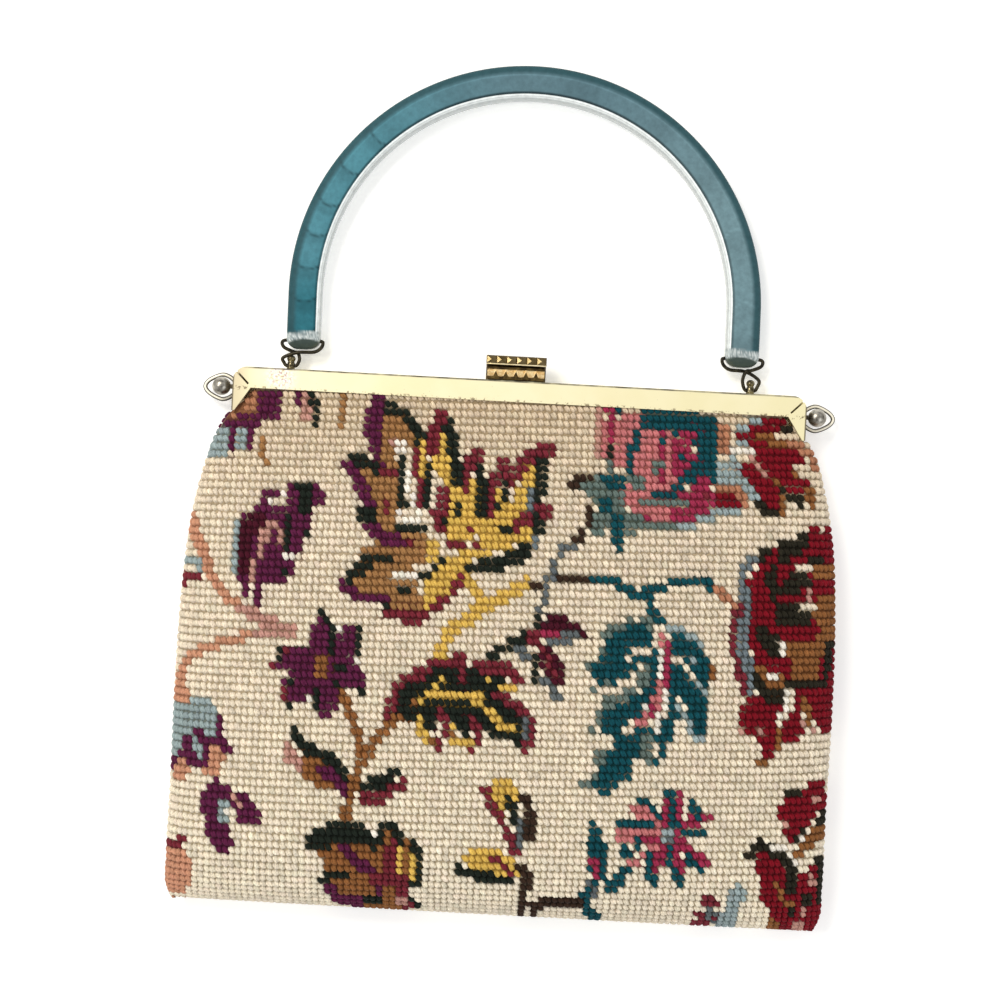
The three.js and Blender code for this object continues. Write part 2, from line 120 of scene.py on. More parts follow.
CHART = {
    "lobed leaf, ochre side": [
        patch("tan", (-21.3, 5), (-18, 5.2), (-15.2, 7), (-14.8, 9.4), (-17.4, 9.4), (-17.6, 8.8),
              (-18.9, 8.8), (-18.5, 12.6), (-20.6, 12.8), (-21, 10)),
        patch("tan", (-25, 12), (-21.2, 12), (-18.6, 12.6), (-17.5, 15), (-17, 17.4), (-18.4, 18.6),
              (-17.6, 20.4), (-13.4, 20.4), (-12.8, 22), (-13, 24.8), (-14.8, 25.8), (-18.6, 26),
              (-18.6, 26.8), (-14.2, 27), (-13.2, 30.9), (-18.4, 31), (-18.6, 29.2), (-24, 29.2),
              (-24.2, 26), (-22, 25.8), (-23.8, 24), (-22.6, 22.2), (-19.5, 21.8), (-21.4, 20),
              (-21.2, 17.6), (-22.4, 16.4), (-23.8, 13.6)),
        patch("plum", (-23.1, 2.4), (-20.8, 2.4), (-21.2, 7), (-21.2, 9.6), (-20.4, 12), (-19.8, 13.2),
              (-21.8, 13), (-22.8, 10), (-23.8, 8), (-23.6, 5)),
        patch("plum", (-26.6, 11.6), (-25, 11.6), (-23.8, 13.6), (-23.4, 15), (-22.2, 16), (-21.6, 17.6),
              (-22.6, 17.4), (-24.2, 16), (-25.2, 13.2), (-26.5, 12.9)),
        patch("plum", (-23.2, 18.9), (-21.4, 18.9), (-20.8, 20), (-19.4, 21.2), (-17.4, 21.3),
              (-17.4, 22.1), (-20.6, 22), (-22.3, 21), (-22.6, 20)),
        patch("plum", (-26.4, 27.2), (-24.8, 27.2), (-23.6, 28.6), (-22.8, 29.1), (-18.5, 29.1),
              (-18.5, 30.2), (-23.4, 30.2), (-25.4, 29.2), (-26.3, 28.3)),
        patch("burgundy", (-18, 21.4), (-15, 21.4), (-15, 22.9), (-16.8, 22.9)),
        stroke("burgundy", 1.1, (-20.6, 13), (-19, 13)),
        stroke("burgundy", 1.0, (-19.7, 16.4), (-19.6, 17.6)),
        stroke("burgundy", 1.5, (-15.8, 9.2), (-15.8, 12.6), (-14.5, 13.6), (-14.2, 16.2)),
        stroke("green", 1.6, (-20.6, 4.4), (-18.2, 4.8), (-16.6, 5.8), (-15.6, 6.8), (-15, 8.3)),
        stroke("green", 1.1, (-18, 10.6), (-17.8, 15.4), (-17, 17.2)),
        stroke("green", 1.6, (-25.4, 11.2), (-23.4, 11.4), (-21.6, 12.3)),
        stroke("plum", 1.9, (-26, 12.2), (-24.6, 13.6), (-23.6, 15.4), (-22.2, 17)),
        stroke("plum", 2.0, (-22.4, 19.4), (-21.2, 20.8), (-19, 21.6), (-17.6, 21.8)),
        stroke("green", 1.5, (-23.9, 18.3), (-21.4, 18.5)),
        stroke("green", 1.1, (-17.5, 20), (-14, 20)),
        stroke("green", 1.7, (-21.6, 24.3), (-23.2, 25.4), (-24.7, 26.6)),
        stroke("green", 1.0, (-19.2, 30.2), (-19, 30.9)),
        patch("green", (-20.2, 23.8), (-17.9, 23.8), (-17.9, 25), (-19.6, 25)),
        patch("green", (-17.4, 27.8), (-15.6, 27.8), (-15.6, 29), (-17.2, 29)),
        patch("white", (-18.8, 8.7), (-17.5, 8.7), (-17.5, 10.4), (-18.6, 10.6)),
        stroke("white", 0.8, (-17.1, 11.8), (-16.9, 14.8), (-15.8, 16), (-14.8, 18), (-14.6, 19)),
        stroke("white", 1.0, (-17, 19), (-14.2, 19)),
        stroke("white", 0.8, (-18.4, 26.4), (-14.6, 26.4)),
        spots("white", (-18, 18.3)),
        spots("rose", (-19.4, 8.3)),
        stroke("burgundy", 1.9, (-18.8, 31.4), (-13.4, 31.4), (-12.2, 30.3), (-10.4, 29.1), (-8.6, 27.5),
               (-7.7, 25.6), (-7.7, 24.6)),
    ],
    "lobed leaf, yellow side": [
        patch("yellow", (-15.2, 8.2), (-14, 8.4), (-12.9, 6.5), (-11.3, 6.5), (-10.4, 8.6), (-9.9, 11.6),
              (-8.6, 13.4), (-8, 14.4), (-6.6, 12.6), (-5.2, 13), (-4.6, 17.8), (-3, 17.6), (-3, 14),
              (-1.2, 14), (-0.8, 16), (0.4, 14), (1.2, 12.4), (2.2, 10.8), (3, 11), (2.9, 13.2), (2, 14),
              (1.6, 16.6), (0.6, 18.4), (2.7, 19.1), (2.7, 21), (0.8, 21.2), (-0.6, 22.2), (-4.6, 23),
              (-7.2, 24.4), (-8.2, 26), (-9.6, 28), (-11.4, 29.6), (-13, 30.9), (-13.4, 27), (-13.4, 25.6),
              (-10.8, 24.6), (-8.6, 22.8), (-10, 21.4), (-10, 19.6), (-10.6, 17.8), (-10.8, 14),
              (-12.6, 12.6), (-13.4, 10.6), (-14.2, 10.6), (-14.2, 13.4), (-15.2, 13.4)),
        patch("yellow", (-13, 21), (-11.5, 21), (-11.5, 24.2), (-13, 24.2)),
        stroke("burgundy", 2.1, (-12, 4.6), (-12.4, 6), (-13.3, 7.4), (-13.5, 9.2)),
        stroke("burgundy", 1.3, (-11, 14.2), (-11, 17.6)),
        stroke("burgundy", 1.8, (-11.8, 17.6), (-11.4, 19.8)),
        stroke("burgundy", 2.1, (-6.2, 9.6), (-6.8, 11), (-7.6, 12), (-7.6, 14)),
        stroke("burgundy", 2.1, (-2, 11), (-2.8, 12.4), (-3.7, 13.8), (-3.7, 17.4)),
        stroke("burgundy", 2.1, (5.4, 8.9), (3.4, 9.1), (1.6, 10), (0.6, 11.6), (-0.6, 12.8)),
        stroke("burgundy", 2.0, (5.4, 17), (3, 17.1), (1.6, 18), (0.8, 18.8)),
        patch("burgundy", (-9.8, 21.3), (-7.3, 21.2), (-7.2, 22.2), (-9.4, 22.6)),
        spots("burgundy", (-5.2, 21.6), (-6.4, 19.6)),
        stroke("green", 1.8, (-10.7, 6.2), (-9.9, 8), (-9.5, 11), (-9, 13)),
        stroke("green", 1.0, (-13.2, 11.2), (-13.2, 16.8)),
        stroke("green", 1.5, (-5.8, 11.8), (-5, 13.4), (-4.9, 17.6)),
        stroke("green", 1.0, (-1.8, 12.9), (-1, 14.4), (-1, 16)),
        stroke("green", 1.8, (3.8, 10.2), (3.9, 14.6)),
        stroke("green", 1.7, (3.9, 18), (3.9, 19.6)),
        stroke("green", 1.0, (-12.2, 25.2), (-11, 24.2)),
        spots("green", (-2, 16.2), (-9, 16.8), (-9, 17.8), (-10.4, 18.7)),
        patch("green", (-2.3, 18.9), (-0.4, 18.9), (-0.4, 20.2), (-2.2, 20.2)),
        patch("green", (2.7, 21.2), (2.7, 22.8), (1.4, 24), (-0.6, 24.2), (-0.6, 25.2), (-7.3, 25.3),
              (-6.8, 24.3), (-4.4, 23.4), (-1.2, 22.6), (0.8, 21.4)),
        patch("green", (-14.4, 25.7), (-12.7, 25.7), (-12.7, 26.9), (-14.2, 26.9)),
        stroke("slate", 1.0, (2.6, 13.8), (2.4, 16.2)),
        stroke("slate", 1.0, (3.3, 20.2), (3.2, 21.6)),
        stroke("white", 0.8, (-12.1, 12.8), (-12.1, 16.8)),
        stroke("cream", 1.0, (-14.4, 25), (-12.8, 24.9)),
        stroke("cream", 0.9, (-7, 22.2), (-6.2, 21.4), (-5.6, 20.2)),
        stroke("yellow", 1.6, (-6.6, 26), (-5.3, 27.2), (-4.5, 28.8)),
        stroke("yellow", 1.9, (2.8, 26.4), (1.2, 27.2), (-1.5, 28.7), (-4, 30), (-6.5, 31.6), (-8.6, 33),
               (-9.6, 34.6), (-10.1, 36.5)),
        patch("brown", (3.2, 26), (5, 26), (4.8, 27.5), (3.3, 27.5)),
    ],
    "left corner at the frame": [
        patch("clay", (-46, 6.5), (-45.3, 5.2), (-43, 4.6), (-41.3, 2.6), (-40.3, 2.6), (-40.3, 6.2),
              (-42, 6.5)),
        patch("plum", (-40.4, 2.4), (-37.3, 2.4), (-37.3, 6.2), (-39.6, 6.8), (-40.2, 7.6), (-41.3, 8.6),
              (-41.6, 10.4), (-42.4, 10.4), (-42.3, 8), (-43.7, 7.6), (-43.7, 11.4), (-44.8, 11.4),
              (-44.8, 8.4), (-46.4, 8), (-45.6, 6.5), (-40.4, 6.2)),
        patch("blue", (-47, 8.5), (-44.9, 8.2), (-44.8, 12.3), (-48.6, 12.4), (-48, 10)),
        patch("blue", (-43.6, 7.4), (-42.3, 7.8), (-42.4, 10.4), (-43.6, 10.8)),
        stroke("tan", 1.0, (-39.3, 9.5), (-39.2, 12.4)),
        stroke("tan", 1.1, (-27.2, 2.6), (-27.3, 6.8)),
        stroke("rose", 1.7, (-33.5, 2.6), (-33.2, 6.2)),
        stroke("plum", 1.0, (-34.7, 2.6), (-34.5, 4.3)),
        stroke("green", 1.0, (-32.3, 3.2), (-31.7, 4.6), (-31, 5.5), (-31.3, 7)),
    ],
    "plum feather leaf": [
        patch("plum", (-36.6, 16), (-38.6, 16), (-39.8, 17.4), (-40.2, 19), (-42.4, 19.4), (-42.8, 21),
              (-42.8, 27.8), (-41.8, 28.4), (-41.6, 30), (-40.3, 30), (-40, 27.6), (-39.7, 29), (-39.7, 32),
              (-38.5, 32), (-38.5, 28.1), (-34.7, 28), (-34.6, 27), (-33.2, 26.9), (-33.2, 25.3), (-35, 25),
              (-33, 24.2), (-32.6, 22.8), (-31.2, 21), (-31, 18.2), (-29.5, 17.4), (-29.6, 16), (-30.8, 15),
              (-35, 15), (-35.4, 17.9), (-37.4, 17.9)),
        patch("wine", (-42.8, 21), (-41.6, 19.6), (-38.4, 18.4), (-38.4, 20), (-40.2, 22), (-40.2, 27.6),
              (-42.6, 27.6)),
        patch("green", (-34.8, 14.9), (-30.9, 14.9), (-31.7, 17), (-31.8, 19), (-33.6, 19.2),
              (-33.6, 16.2)),
        stroke("green", 1.2, (-35, 19.8), (-35.2, 23)),
        spots("green", (-32.2, 21.6), (-35.4, 26.2)),
        patch("rose", (-36.4, 19.9), (-38.2, 19.9), (-39.8, 21.6), (-40, 25.4), (-39.2, 25.4),
              (-38.4, 23.4), (-37.4, 21.6)),
        stroke("rose", 0.9, (-40.1, 25.4), (-40, 27.8)),
        stroke("rose", 0.8, (-36.1, 21.2), (-36.3, 22.6)),
        stroke("blue", 1.0, (-43, 20.4), (-43.2, 23), (-43, 26.6)),
        spots("white", (-36.3, 16.5), (-37.6, 17.7), (-35, 24.8), (-34, 24.8)),
    ],
    "salmon vine at the left": [
        stroke("salmon", 1.6, (-49.8, 20), (-48.8, 23), (-47.6, 25), (-46.6, 27), (-45.4, 29),
               (-43.5, 30.4), (-41.5, 31.5)),
        stroke("rose", 1.7, (-41.3, 31.7), (-38.5, 32.8), (-36, 33.7), (-33.4, 34.1)),
        stroke("rose", 1.0, (-39.8, 35), (-37.5, 34.4), (-35, 34.4)),
        stroke("salmon", 1.3, (-50.6, 44), (-50.3, 41), (-49.6, 39), (-47.8, 37.3), (-45, 36.6),
               (-42.5, 35.8), (-40.6, 35.2)),
        stroke("salmon", 1.3, (-50.2, 41.5), (-49.2, 44.2)),
        stroke("blue", 1.4, (-50, 25.4), (-48.6, 26.2)),
        stroke("burgundy", 1.1, (-50.6, 28.4), (-49.8, 27.6), (-48, 27.4)),
    ],
    "purple star": [
        patch("plum", (-29.6, 32.4), (-28.2, 32.4), (-27.2, 33.4), (-27, 36.4), (-26.6, 34.8),
              (-25.2, 34.2), (-25.2, 33.3), (-22.6, 33.3), (-22.6, 37.6), (-24.4, 37.9), (-22.6, 38.6),
              (-21.5, 39.6), (-21.5, 42.2), (-22.6, 41.6), (-25.1, 41.6), (-25.1, 43.9), (-26.4, 44.2),
              (-26.4, 45.3), (-28.2, 45.2), (-28.8, 43), (-30, 41.9), (-30.1, 43.3), (-32, 43.5),
              (-34.6, 43.3), (-34.6, 41.4), (-33.4, 40.2), (-33, 39.4), (-36.4, 39.3), (-36.4, 38.3),
              (-35.2, 37.8), (-34.6, 36.1), (-30.2, 36), (-30.2, 33.6)),
        stroke("green", 0.9, (-29.1, 31.5), (-28.2, 32.6)),
        stroke("green", 0.9, (-27.5, 33), (-27.1, 37)),
        stroke("green", 0.9, (-22.9, 33.7), (-22.8, 37.2)),
        stroke("green", 0.9, (-33.2, 36.3), (-30.4, 36.2)),
        stroke("green", 0.9, (-32.5, 39.5), (-30.8, 39.4)),
        stroke("green", 0.9, (-26, 41.3), (-22.3, 41.3)),
        stroke("green", 0.9, (-29.2, 41.7), (-29.1, 44)),
        stroke("green", 0.8, (-26, 38.9), (-24.6, 38.9)),
        spots("green", (-33.1, 40.6), (-33.2, 44), (-35.2, 37.4), (-22, 42.3)),
        spots("burgundy", (-35.8, 38.8), (-34.1, 41.9), (-34.1, 42.8), (-34, 36.5)),
        patch("ochre", (-29.3, 37.6), (-27.2, 37.6), (-27.2, 39.9), (-29.3, 39.9)),
        spots("white", (-26.1, 34), (-23.2, 38.1), (-30.2, 42.7)),
    ],
    "brown stems and two leaves": [
        stroke("ochre", 1.4, (-25, 42.5), (-23.8, 44.2), (-22.7, 46.4), (-22, 48.6), (-21.6, 50.5),
               (-22.3, 53), (-23, 56), (-23.8, 59)),
        stroke("ochre", 1.1, (-13.4, 45.1), (-16.5, 45.1)),
        stroke("ochre", 1.5, (-17.2, 45.4), (-18.8, 46.9), (-20, 48.6), (-21, 50.6)),
        stroke("rose", 1.9, (-33.2, 49.6), (-32.3, 51), (-31, 52)),
        patch("ochre", (-31.3, 50.4), (-28.5, 50.4), (-26.6, 51.6), (-26, 53), (-25, 54.9), (-28, 54.6),
              (-30.3, 54), (-30.4, 52.4)),
        stroke("green", 1.4, (-32.1, 47.6), (-31.4, 48.9), (-30.3, 49.7), (-28.8, 49.7), (-27.6, 50.6),
               (-26, 50.7), (-24.8, 52.2), (-23.9, 53.2)),
        stroke("plum", 1.7, (-27.4, 52.6), (-25.8, 52.9), (-24.7, 54), (-23.9, 55.4)),
        patch("green", (-21.4, 55.1), (-21.2, 54), (-20, 53), (-18.4, 52.4), (-16.6, 51.9), (-15.3, 51.9),
              (-16.2, 53.4), (-18, 54.2), (-18.8, 55)),
        patch("burgundy", (-22, 56.4), (-21.6, 55.2), (-18.4, 55), (-17.8, 54.1), (-16.2, 53.6),
              (-15.6, 52.9), (-14.4, 52.9), (-14.4, 54), (-15.4, 55), (-17.4, 55.2), (-17.6, 56.3)),
    ],
    "flower at the bottom": [
        patch("ochre", (-28.6, 63), (-26, 61.5), (-20.4, 61.5), (-19, 63.2), (-18.2, 60.8), (-17.4, 59.3),
              (-15.8, 59.4), (-14.4, 61), (-13, 61), (-12, 63), (-12.2, 66.2), (-13.4, 68), (-13.4, 70),
              (-20, 70), (-24, 68.6), (-25.4, 67), (-26.2, 65.4), (-27, 64)),
        patch("green", (-30.1, 62.6), (-29.4, 60.6), (-27.4, 60.2), (-27, 59.3), (-20.2, 59.2), (-20, 60.2),
              (-19.2, 60.8), (-18.2, 61.6), (-18.2, 63.2), (-19, 63.2), (-19.8, 62), (-20.6, 61.4),
              (-25.6, 61.4), (-25.8, 62.5)),
        stroke("green", 1.0, (-16.9, 58.7), (-17.7, 59.6), (-17.8, 61)),
        stroke("green", 1.2, (-15.5, 59.6), (-15, 60.6), (-14.5, 61.9)),
        stroke("green", 1.1, (-12.6, 61.2), (-12.4, 62.4), (-11.6, 62.8), (-11.5, 65.8), (-12.4, 66.7)),
        stroke("yellow", 1.0, (-14.4, 62.3), (-14.4, 66)),
        stroke("yellow", 0.9, (-12.4, 63.2), (-12.4, 66)),
        stroke("plum", 1.7, (-23.4, 62.6), (-21.4, 64), (-19.4, 65.1), (-17.6, 66.4), (-17.6, 67.4)),
        stroke("burgundy", 1.9, (-16, 62), (-15.8, 65.8)),
        stroke("burgundy", 1.8, (-18.4, 66.2), (-14.4, 66.3)),
        stroke("burgundy", 1.5, (-14.1, 66.2), (-14, 68)),
        patch("green", (-27, 67.4), (-26.6, 66), (-25.6, 65.3), (-22, 65.3), (-22, 66.3), (-25.2, 66.4),
              (-25.6, 67.4)),
        stroke("plum", 1.5, (-25.3, 67.8), (-24, 69), (-20.2, 69.2)),
        stroke("green", 1.1, (-19.6, 69), (-17.3, 68.9)),
        stroke("green", 1.0, (-12.9, 68.6), (-11.8, 69.4)),
        spots("rose", (-14.6, 68.8), (-13.8, 68.9)),
        spots("burgundy", (-13, 69.5)),
        spots("white", (-19, 60.6)),
    ],
    "green, yellow and burgundy leaf": [
        patch("green", (-17.6, 44.8), (-17, 42.6), (-15.8, 40.6), (-13.6, 39.4), (-11, 38.3), (-7, 38),
              (-5, 38.3), (-4.6, 37.8), (0.4, 37.8), (0.6, 39.4), (-0.6, 40.2), (-1.6, 41), (0, 42),
              (2.8, 43), (3.2, 44.6), (3.1, 48.4), (1.6, 47.2), (-1.6, 46.9), (-2.4, 45.6), (-3.6, 45),
              (-4.8, 46.4), (-5, 47.4), (-6.4, 46.4), (-7, 45.2), (-10, 45), (-10.2, 46.8), (-12.2, 46.6),
              (-12.4, 44.8)),
        stroke("burgundy", 1.4, (-17.8, 44.4), (-17.2, 42.4), (-16.4, 40.8), (-15, 39.8), (-12.6, 38.7),
               (-11, 37.6), (-8.5, 37.5), (-6.7, 36.6)),
        stroke("burgundy", 1.6, (-6.4, 38.2), (-6.6, 39.5)),
        stroke("burgundy", 1.4, (-4.5, 37.6), (0.6, 37.5), (1, 38.6), (2.8, 39.3)),
        stroke("burgundy", 1.4, (-1, 41), (0.8, 42), (2.6, 42.7), (4, 43.6), (4.8, 45), (4.8, 46.8),
               (3.8, 47.8)),
        stroke("yellow", 1.1, (-12.6, 42.6), (-12, 41.9), (-5, 41.9), (-3.6, 42.7), (-1.8, 43.8),
               (-0.2, 45.1), (1.8, 45.6)),
        stroke("yellow", 1.0, (-0.2, 40.3), (1.8, 40.2)),
        stroke("yellow", 1.0, (-3.8, 40.9), (-4.3, 41.8)),
        spots("yellow", (-10.6, 40.9), (-9.6, 39.5), (-2.7, 39.5)),
        stroke("burgundy", 1.2, (-9.8, 43.8), (-8.9, 45), (-9, 46.6), (-9.7, 48.6)),
        stroke("burgundy", 1.4, (-4.6, 44.4), (-4, 46), (-3.1, 48)),
        spots("burgundy", (-4.4, 49)),
        stroke("yellow", 1.4, (-12.9, 45.4), (-12.6, 46.6), (-11.2, 47.6)),
        stroke("yellow", 1.4, (-7.5, 46.2), (-7.4, 47.6), (-5, 48)),
        spots("ochre", (-13.6, 42.9), (-10.4, 48.3), (-7.6, 46.4)),
        stroke("grey", 1.1, (3.5, 44.8), (3.6, 46.6)),
    ],
    "small dark flower": [
        patch("wine", (5, 32.2), (5.2, 31.2), (6.2, 31), (6.4, 29.9), (9, 29.9), (9.2, 31), (11.3, 31.2),
              (11.4, 32.3)),
        spots("wine", (12.2, 32.7)),
        stroke("magenta", 1.1, (5.2, 32.9), (8.3, 32.8)),
        stroke("grey", 1.1, (8.9, 32.8), (11, 32.8)),
        stroke("grey", 1.0, (6.8, 33.7), (9.4, 33.6)),
        stroke("green", 1.2, (4.7, 29.4), (4.4, 32)),
        stroke("green", 1.4, (3.4, 32.6), (1.6, 34), (-0.2, 35.1), (-2.8, 36.4)),
        stroke("burgundy", 1.2, (4.4, 32.9), (3.6, 34), (4.8, 34.1)),
        stroke("grey", 1.5, (2.2, 35), (3.2, 36.2)),
        stroke("green", 1.2, (4.3, 36), (4.6, 38.6)),
        patch("wine", (4.6, 34.4), (7, 34.4), (8.5, 35.8), (9.2, 37.4), (9.3, 40), (7.7, 39.6), (7.4, 38.4),
              (6, 37.8), (5.3, 36)),
        spots("burgundy", (5.4, 35.2), (6.9, 36.3), (6.9, 37.3), (8.2, 38.4)),
        stroke("grey", 1.2, (5.4, 39.2), (7.4, 39.6), (8.4, 41.4)),
    ],
    "grey vine": [
        stroke("grey", 1.2, (10, 20.6), (8.2, 21.7), (7, 23.3), (6.3, 25.5), (5.6, 28), (5, 30)),
        stroke("brown", 1.2, (9, 13.3), (10.5, 12.1), (12.8, 11.7)),
        stroke("brown", 1.3, (11.9, 16.5), (11.6, 18), (10.4, 20.3)),
        stroke("brown", 1.1, (7.4, 25.5), (11.6, 25.4)),
        stroke("brown", 1.1, (12.8, 25.3), (13.6, 25.3)),
    ],
    "teal and pink rose": [
        patch("pink", (17.8, 12), (19, 5.4), (24.4, 5), (26, 8), (25.4, 12), (27, 14), (24, 16.6),
              (19, 15.6)),
        patch("sage", (10.6, 12.4), (13, 11.8), (15, 13.5), (17, 13.6), (17.4, 15.5), (18.5, 17),
              (19.4, 18.4), (18.8, 19.2), (17.6, 19), (15, 18.6), (13.8, 19.8), (12, 20.2), (12.2, 18),
              (13, 16), (12.2, 14.2), (10.4, 14)),
        patch("teal", (13.2, 11.8), (15, 10.9), (16.8, 11), (17, 13.8), (15.4, 13.6), (13.4, 12.8)),
        patch("teal", (13.4, 14.4), (15, 14.2), (15, 17), (13.6, 17)),
        patch("teal", (15.2, 17), (16.8, 16.2), (17.2, 18), (17.8, 19.6), (17.6, 21.2), (16.6, 21.9),
              (15.6, 20.6), (15.4, 19)),
        patch("teal", (19, 2.6), (31.2, 2.6), (31.4, 12), (30.6, 12.4), (30.2, 11), (29, 10.8),
              (28.4, 11.6), (27, 12.2), (26.6, 13), (24.6, 12.9), (24.7, 12), (26.8, 10.4), (27.8, 9),
              (28.6, 8.2), (27.4, 7), (28, 5), (25.2, 4.9), (24.8, 6), (23.8, 5.6), (22.6, 5), (19.6, 5.3),
              (19.2, 7.4), (18.3, 8.2), (18.4, 10.8), (19, 11.6), (18.6, 12.3), (17.6, 10.8), (17, 9),
              (17.2, 7.2), (18, 6.6), (18.6, 5)),
        patch("pink", (15.1, 4.5), (16.3, 3.2), (19.1, 3.2), (18.6, 5), (17.9, 6.8), (17, 7.2), (17, 10.8),
              (16.4, 10.9), (15, 10.2)),
        patch("magenta", (13.4, 2.8), (15.1, 2.8), (15.1, 7), (13.9, 7.2), (13.7, 4.4)),
        patch("teal", (15.1, 2.6), (16.3, 2.6), (16.2, 3.8), (15.2, 3.8)),
        stroke("pink", 1.2, (13.2, 4.8), (13.1, 9.2)),
        stroke("rose", 1.0, (12.3, 3.4), (12.2, 9.4)),
        patch("green", (13.9, 7.4), (14.9, 7.2), (14.8, 9.6), (13.9, 9.4)),
        stroke("sage", 0.9, (14.3, 9.6), (14.6, 10.6)),
        patch("pink", (19.8, 5.4), (22, 5.2), (22.2, 7), (22, 9.5), (21.2, 10.9), (19.2, 11), (18.5, 10),
              (18.4, 8.4), (19.4, 7.4)),
        patch("sage", (21, 9.6), (23.2, 8.9), (23.2, 10.2), (22, 10.4), (22, 11.2), (20.9, 11.3)),
        patch("magenta", (22.2, 5), (23.2, 5), (23.3, 9), (22.2, 8.9)),
        spots("teal", (22.5, 6.5)),
        patch("magenta", (22.2, 10.4), (23.4, 10.2), (23.4, 12.6), (21.9, 12.6)),
        stroke("pink", 1.1, (23.9, 6.2), (23.9, 9), (24, 12.6)),
        patch("magenta", (24.4, 6.6), (25.2, 6), (25.7, 5), (28.3, 4.7), (27.6, 6), (26.6, 7.4),
              (27.6, 8.4), (28.6, 8), (28.2, 9), (27, 10), (26.4, 11.2), (25, 11.9), (24.5, 11.4)),
        spots("teal", (26, 8.4)),
        patch("magenta", (28.3, 11.6), (29.2, 10.9), (30.4, 11), (30.6, 12.6), (31.2, 13.4), (31, 15),
              (30.3, 15.2), (30, 16.2), (28.6, 16.2), (28, 17.3), (20.8, 17.2), (20.8, 16.2), (23, 15.8),
              (27.4, 15.2), (27.4, 14.4), (25.6, 13.9), (25.6, 13.2), (27.6, 12.8)),
        spots("burgundy", (29.6, 13.2)),
        patch("teal", (21.2, 13), (25.2, 12.9), (25.2, 14), (21.2, 14)),
        patch("sage", (17.6, 11.4), (20.2, 11.2), (20, 13), (18.6, 13.8), (17.8, 12.8)),
        stroke("pink", 1.2, (20.9, 11.8), (20.5, 13.8)),
        stroke("sage", 1.0, (19.4, 14.5), (22, 14.6), (27, 14.4)),
        stroke("pink", 1.3, (17.6, 13.4), (17.9, 14.9), (19.2, 15.7), (21.2, 16.2), (22.3, 16.6)),
        spots("pink", (24.2, 15.6), (24.3, 16.6), (23.2, 16.9)),
        stroke("sage", 1.2, (18.6, 16.8), (20.8, 17.9), (24, 18), (27, 17.7)),
        stroke("blue", 1.2, (26, 18.1), (28.2, 17.3), (29, 16.8), (31, 16.1), (31.5, 15.4), (34.8, 15.5)),
    ],
    "red flower under the frame": [
        patch("red", (37.6, 3.4), (38.4, 2.4), (41.4, 2.4), (41.2, 4), (40.8, 5.2), (37, 5.2), (37, 6.2),
              (40, 6.2), (42.2, 6.4), (43, 7.3), (44, 7), (44.8, 7.8), (45.4, 8.6), (45, 9.4), (43, 9.6),
              (43.2, 10), (44.6, 10.6), (45.8, 11.4), (45.6, 12.3), (43.6, 12.4), (42, 12.3), (41.6, 13),
              (41.4, 14.8), (40.4, 14.8), (39, 14), (37.4, 13), (36.2, 11.4), (34.8, 10.4), (34.6, 9.6),
              (35.2, 8.8), (36.8, 8.6), (37, 7.4), (36.2, 6.4), (34, 6.4), (34.2, 5.4), (36, 4.4)),
        patch("red", (31, 12.8), (34.6, 12.8), (35.2, 14.9), (31, 14.9)),
        patch("rust", (31.2, 3.6), (32.8, 3.6), (33.2, 6), (32.9, 8), (32.4, 8.8), (31.8, 8.2),
              (31.3, 6.6)),
        stroke("ochre", 1.1, (37, 5.7), (39.6, 5.8), (40.2, 5.9), (42.5, 6.2)),
        stroke("rust", 1.1, (42.6, 6.2), (44.4, 6.8), (46, 7.6), (46.6, 8.8)),
        patch("olive", (41, 3.8), (41.8, 3.4), (43, 5), (41.2, 5)),
        stroke("blue", 1.1, (37.3, 3.2), (35.6, 4), (34, 4.8)),
        stroke("blue", 1.2, (34.2, 7), (36, 6.9)),
        stroke("white", 1.1, (33.4, 7.9), (36.6, 7.8)),
        spots("rose", (36.6, 7.9)),
        stroke("blue", 1.2, (31.4, 9.2), (34.3, 9)),
        stroke("white", 1.0, (31.4, 10.1), (34, 10.1)),
        stroke("blue", 1.4, (31.5, 11.1), (35.2, 11.1), (36.2, 12), (37.6, 13.6), (37.6, 14.5)),
        stroke("rust", 1.1, (31.5, 12.3), (34.6, 12.3), (35.4, 13.4), (35.7, 14.6)),
        spots("rose", (37.4, 9), (38.6, 10.2)),
        stroke("cream", 1.2, (43.8, 9.7), (46.5, 9.9)),
        spots("ochre", (40.7, 11.7), (43.4, 10.2)),
        spots("olive", (41.5, 11.9), (41.6, 12.5)),
        patch("olive", (42.4, 12.9), (45, 12.5), (45.4, 14.7), (44.6, 14.8), (43.4, 13.6), (42.4, 13.5)),
        stroke("ochre", 0.9, (41.9, 12.8), (41.9, 15.6)),
        stroke("ochre", 1.2, (46, 12.2), (46.2, 14.2)),
        stroke("olive", 1.4, (38.2, 14.2), (39, 15), (40.8, 15.3)),
    ],
    "large flower at the right edge": [
        patch("red", (38.4, 22), (40, 20.4), (45.6, 19), (49.6, 17.4), (50.8, 24), (51.2, 37.4), (44, 37.6),
              (39, 36.4), (38, 33), (37.8, 29), (37.8, 25)),
        patch("olive", (38, 20.6), (39.2, 20.1), (41, 19.9), (41.2, 19), (44, 18.7), (45.4, 17.6),
              (46.4, 17.4), (46.6, 19.5), (48.8, 20.6), (48.6, 21.6), (46.4, 21.7), (46.8, 24), (47, 26),
              (46, 27.6), (47.8, 28), (47, 30), (42, 30.4), (41.4, 28), (40.4, 26), (39.6, 24),
              (40.6, 22.8), (39.8, 21.6), (38, 21.9)),
        stroke("slate", 1.7, (37.6, 21.4), (36.2, 23), (36.2, 25), (37.2, 27), (37.4, 28), (36.8, 30),
               (36.6, 32), (37, 33.8), (37.8, 35.6), (38.2, 37.2), (38.3, 38.3)),
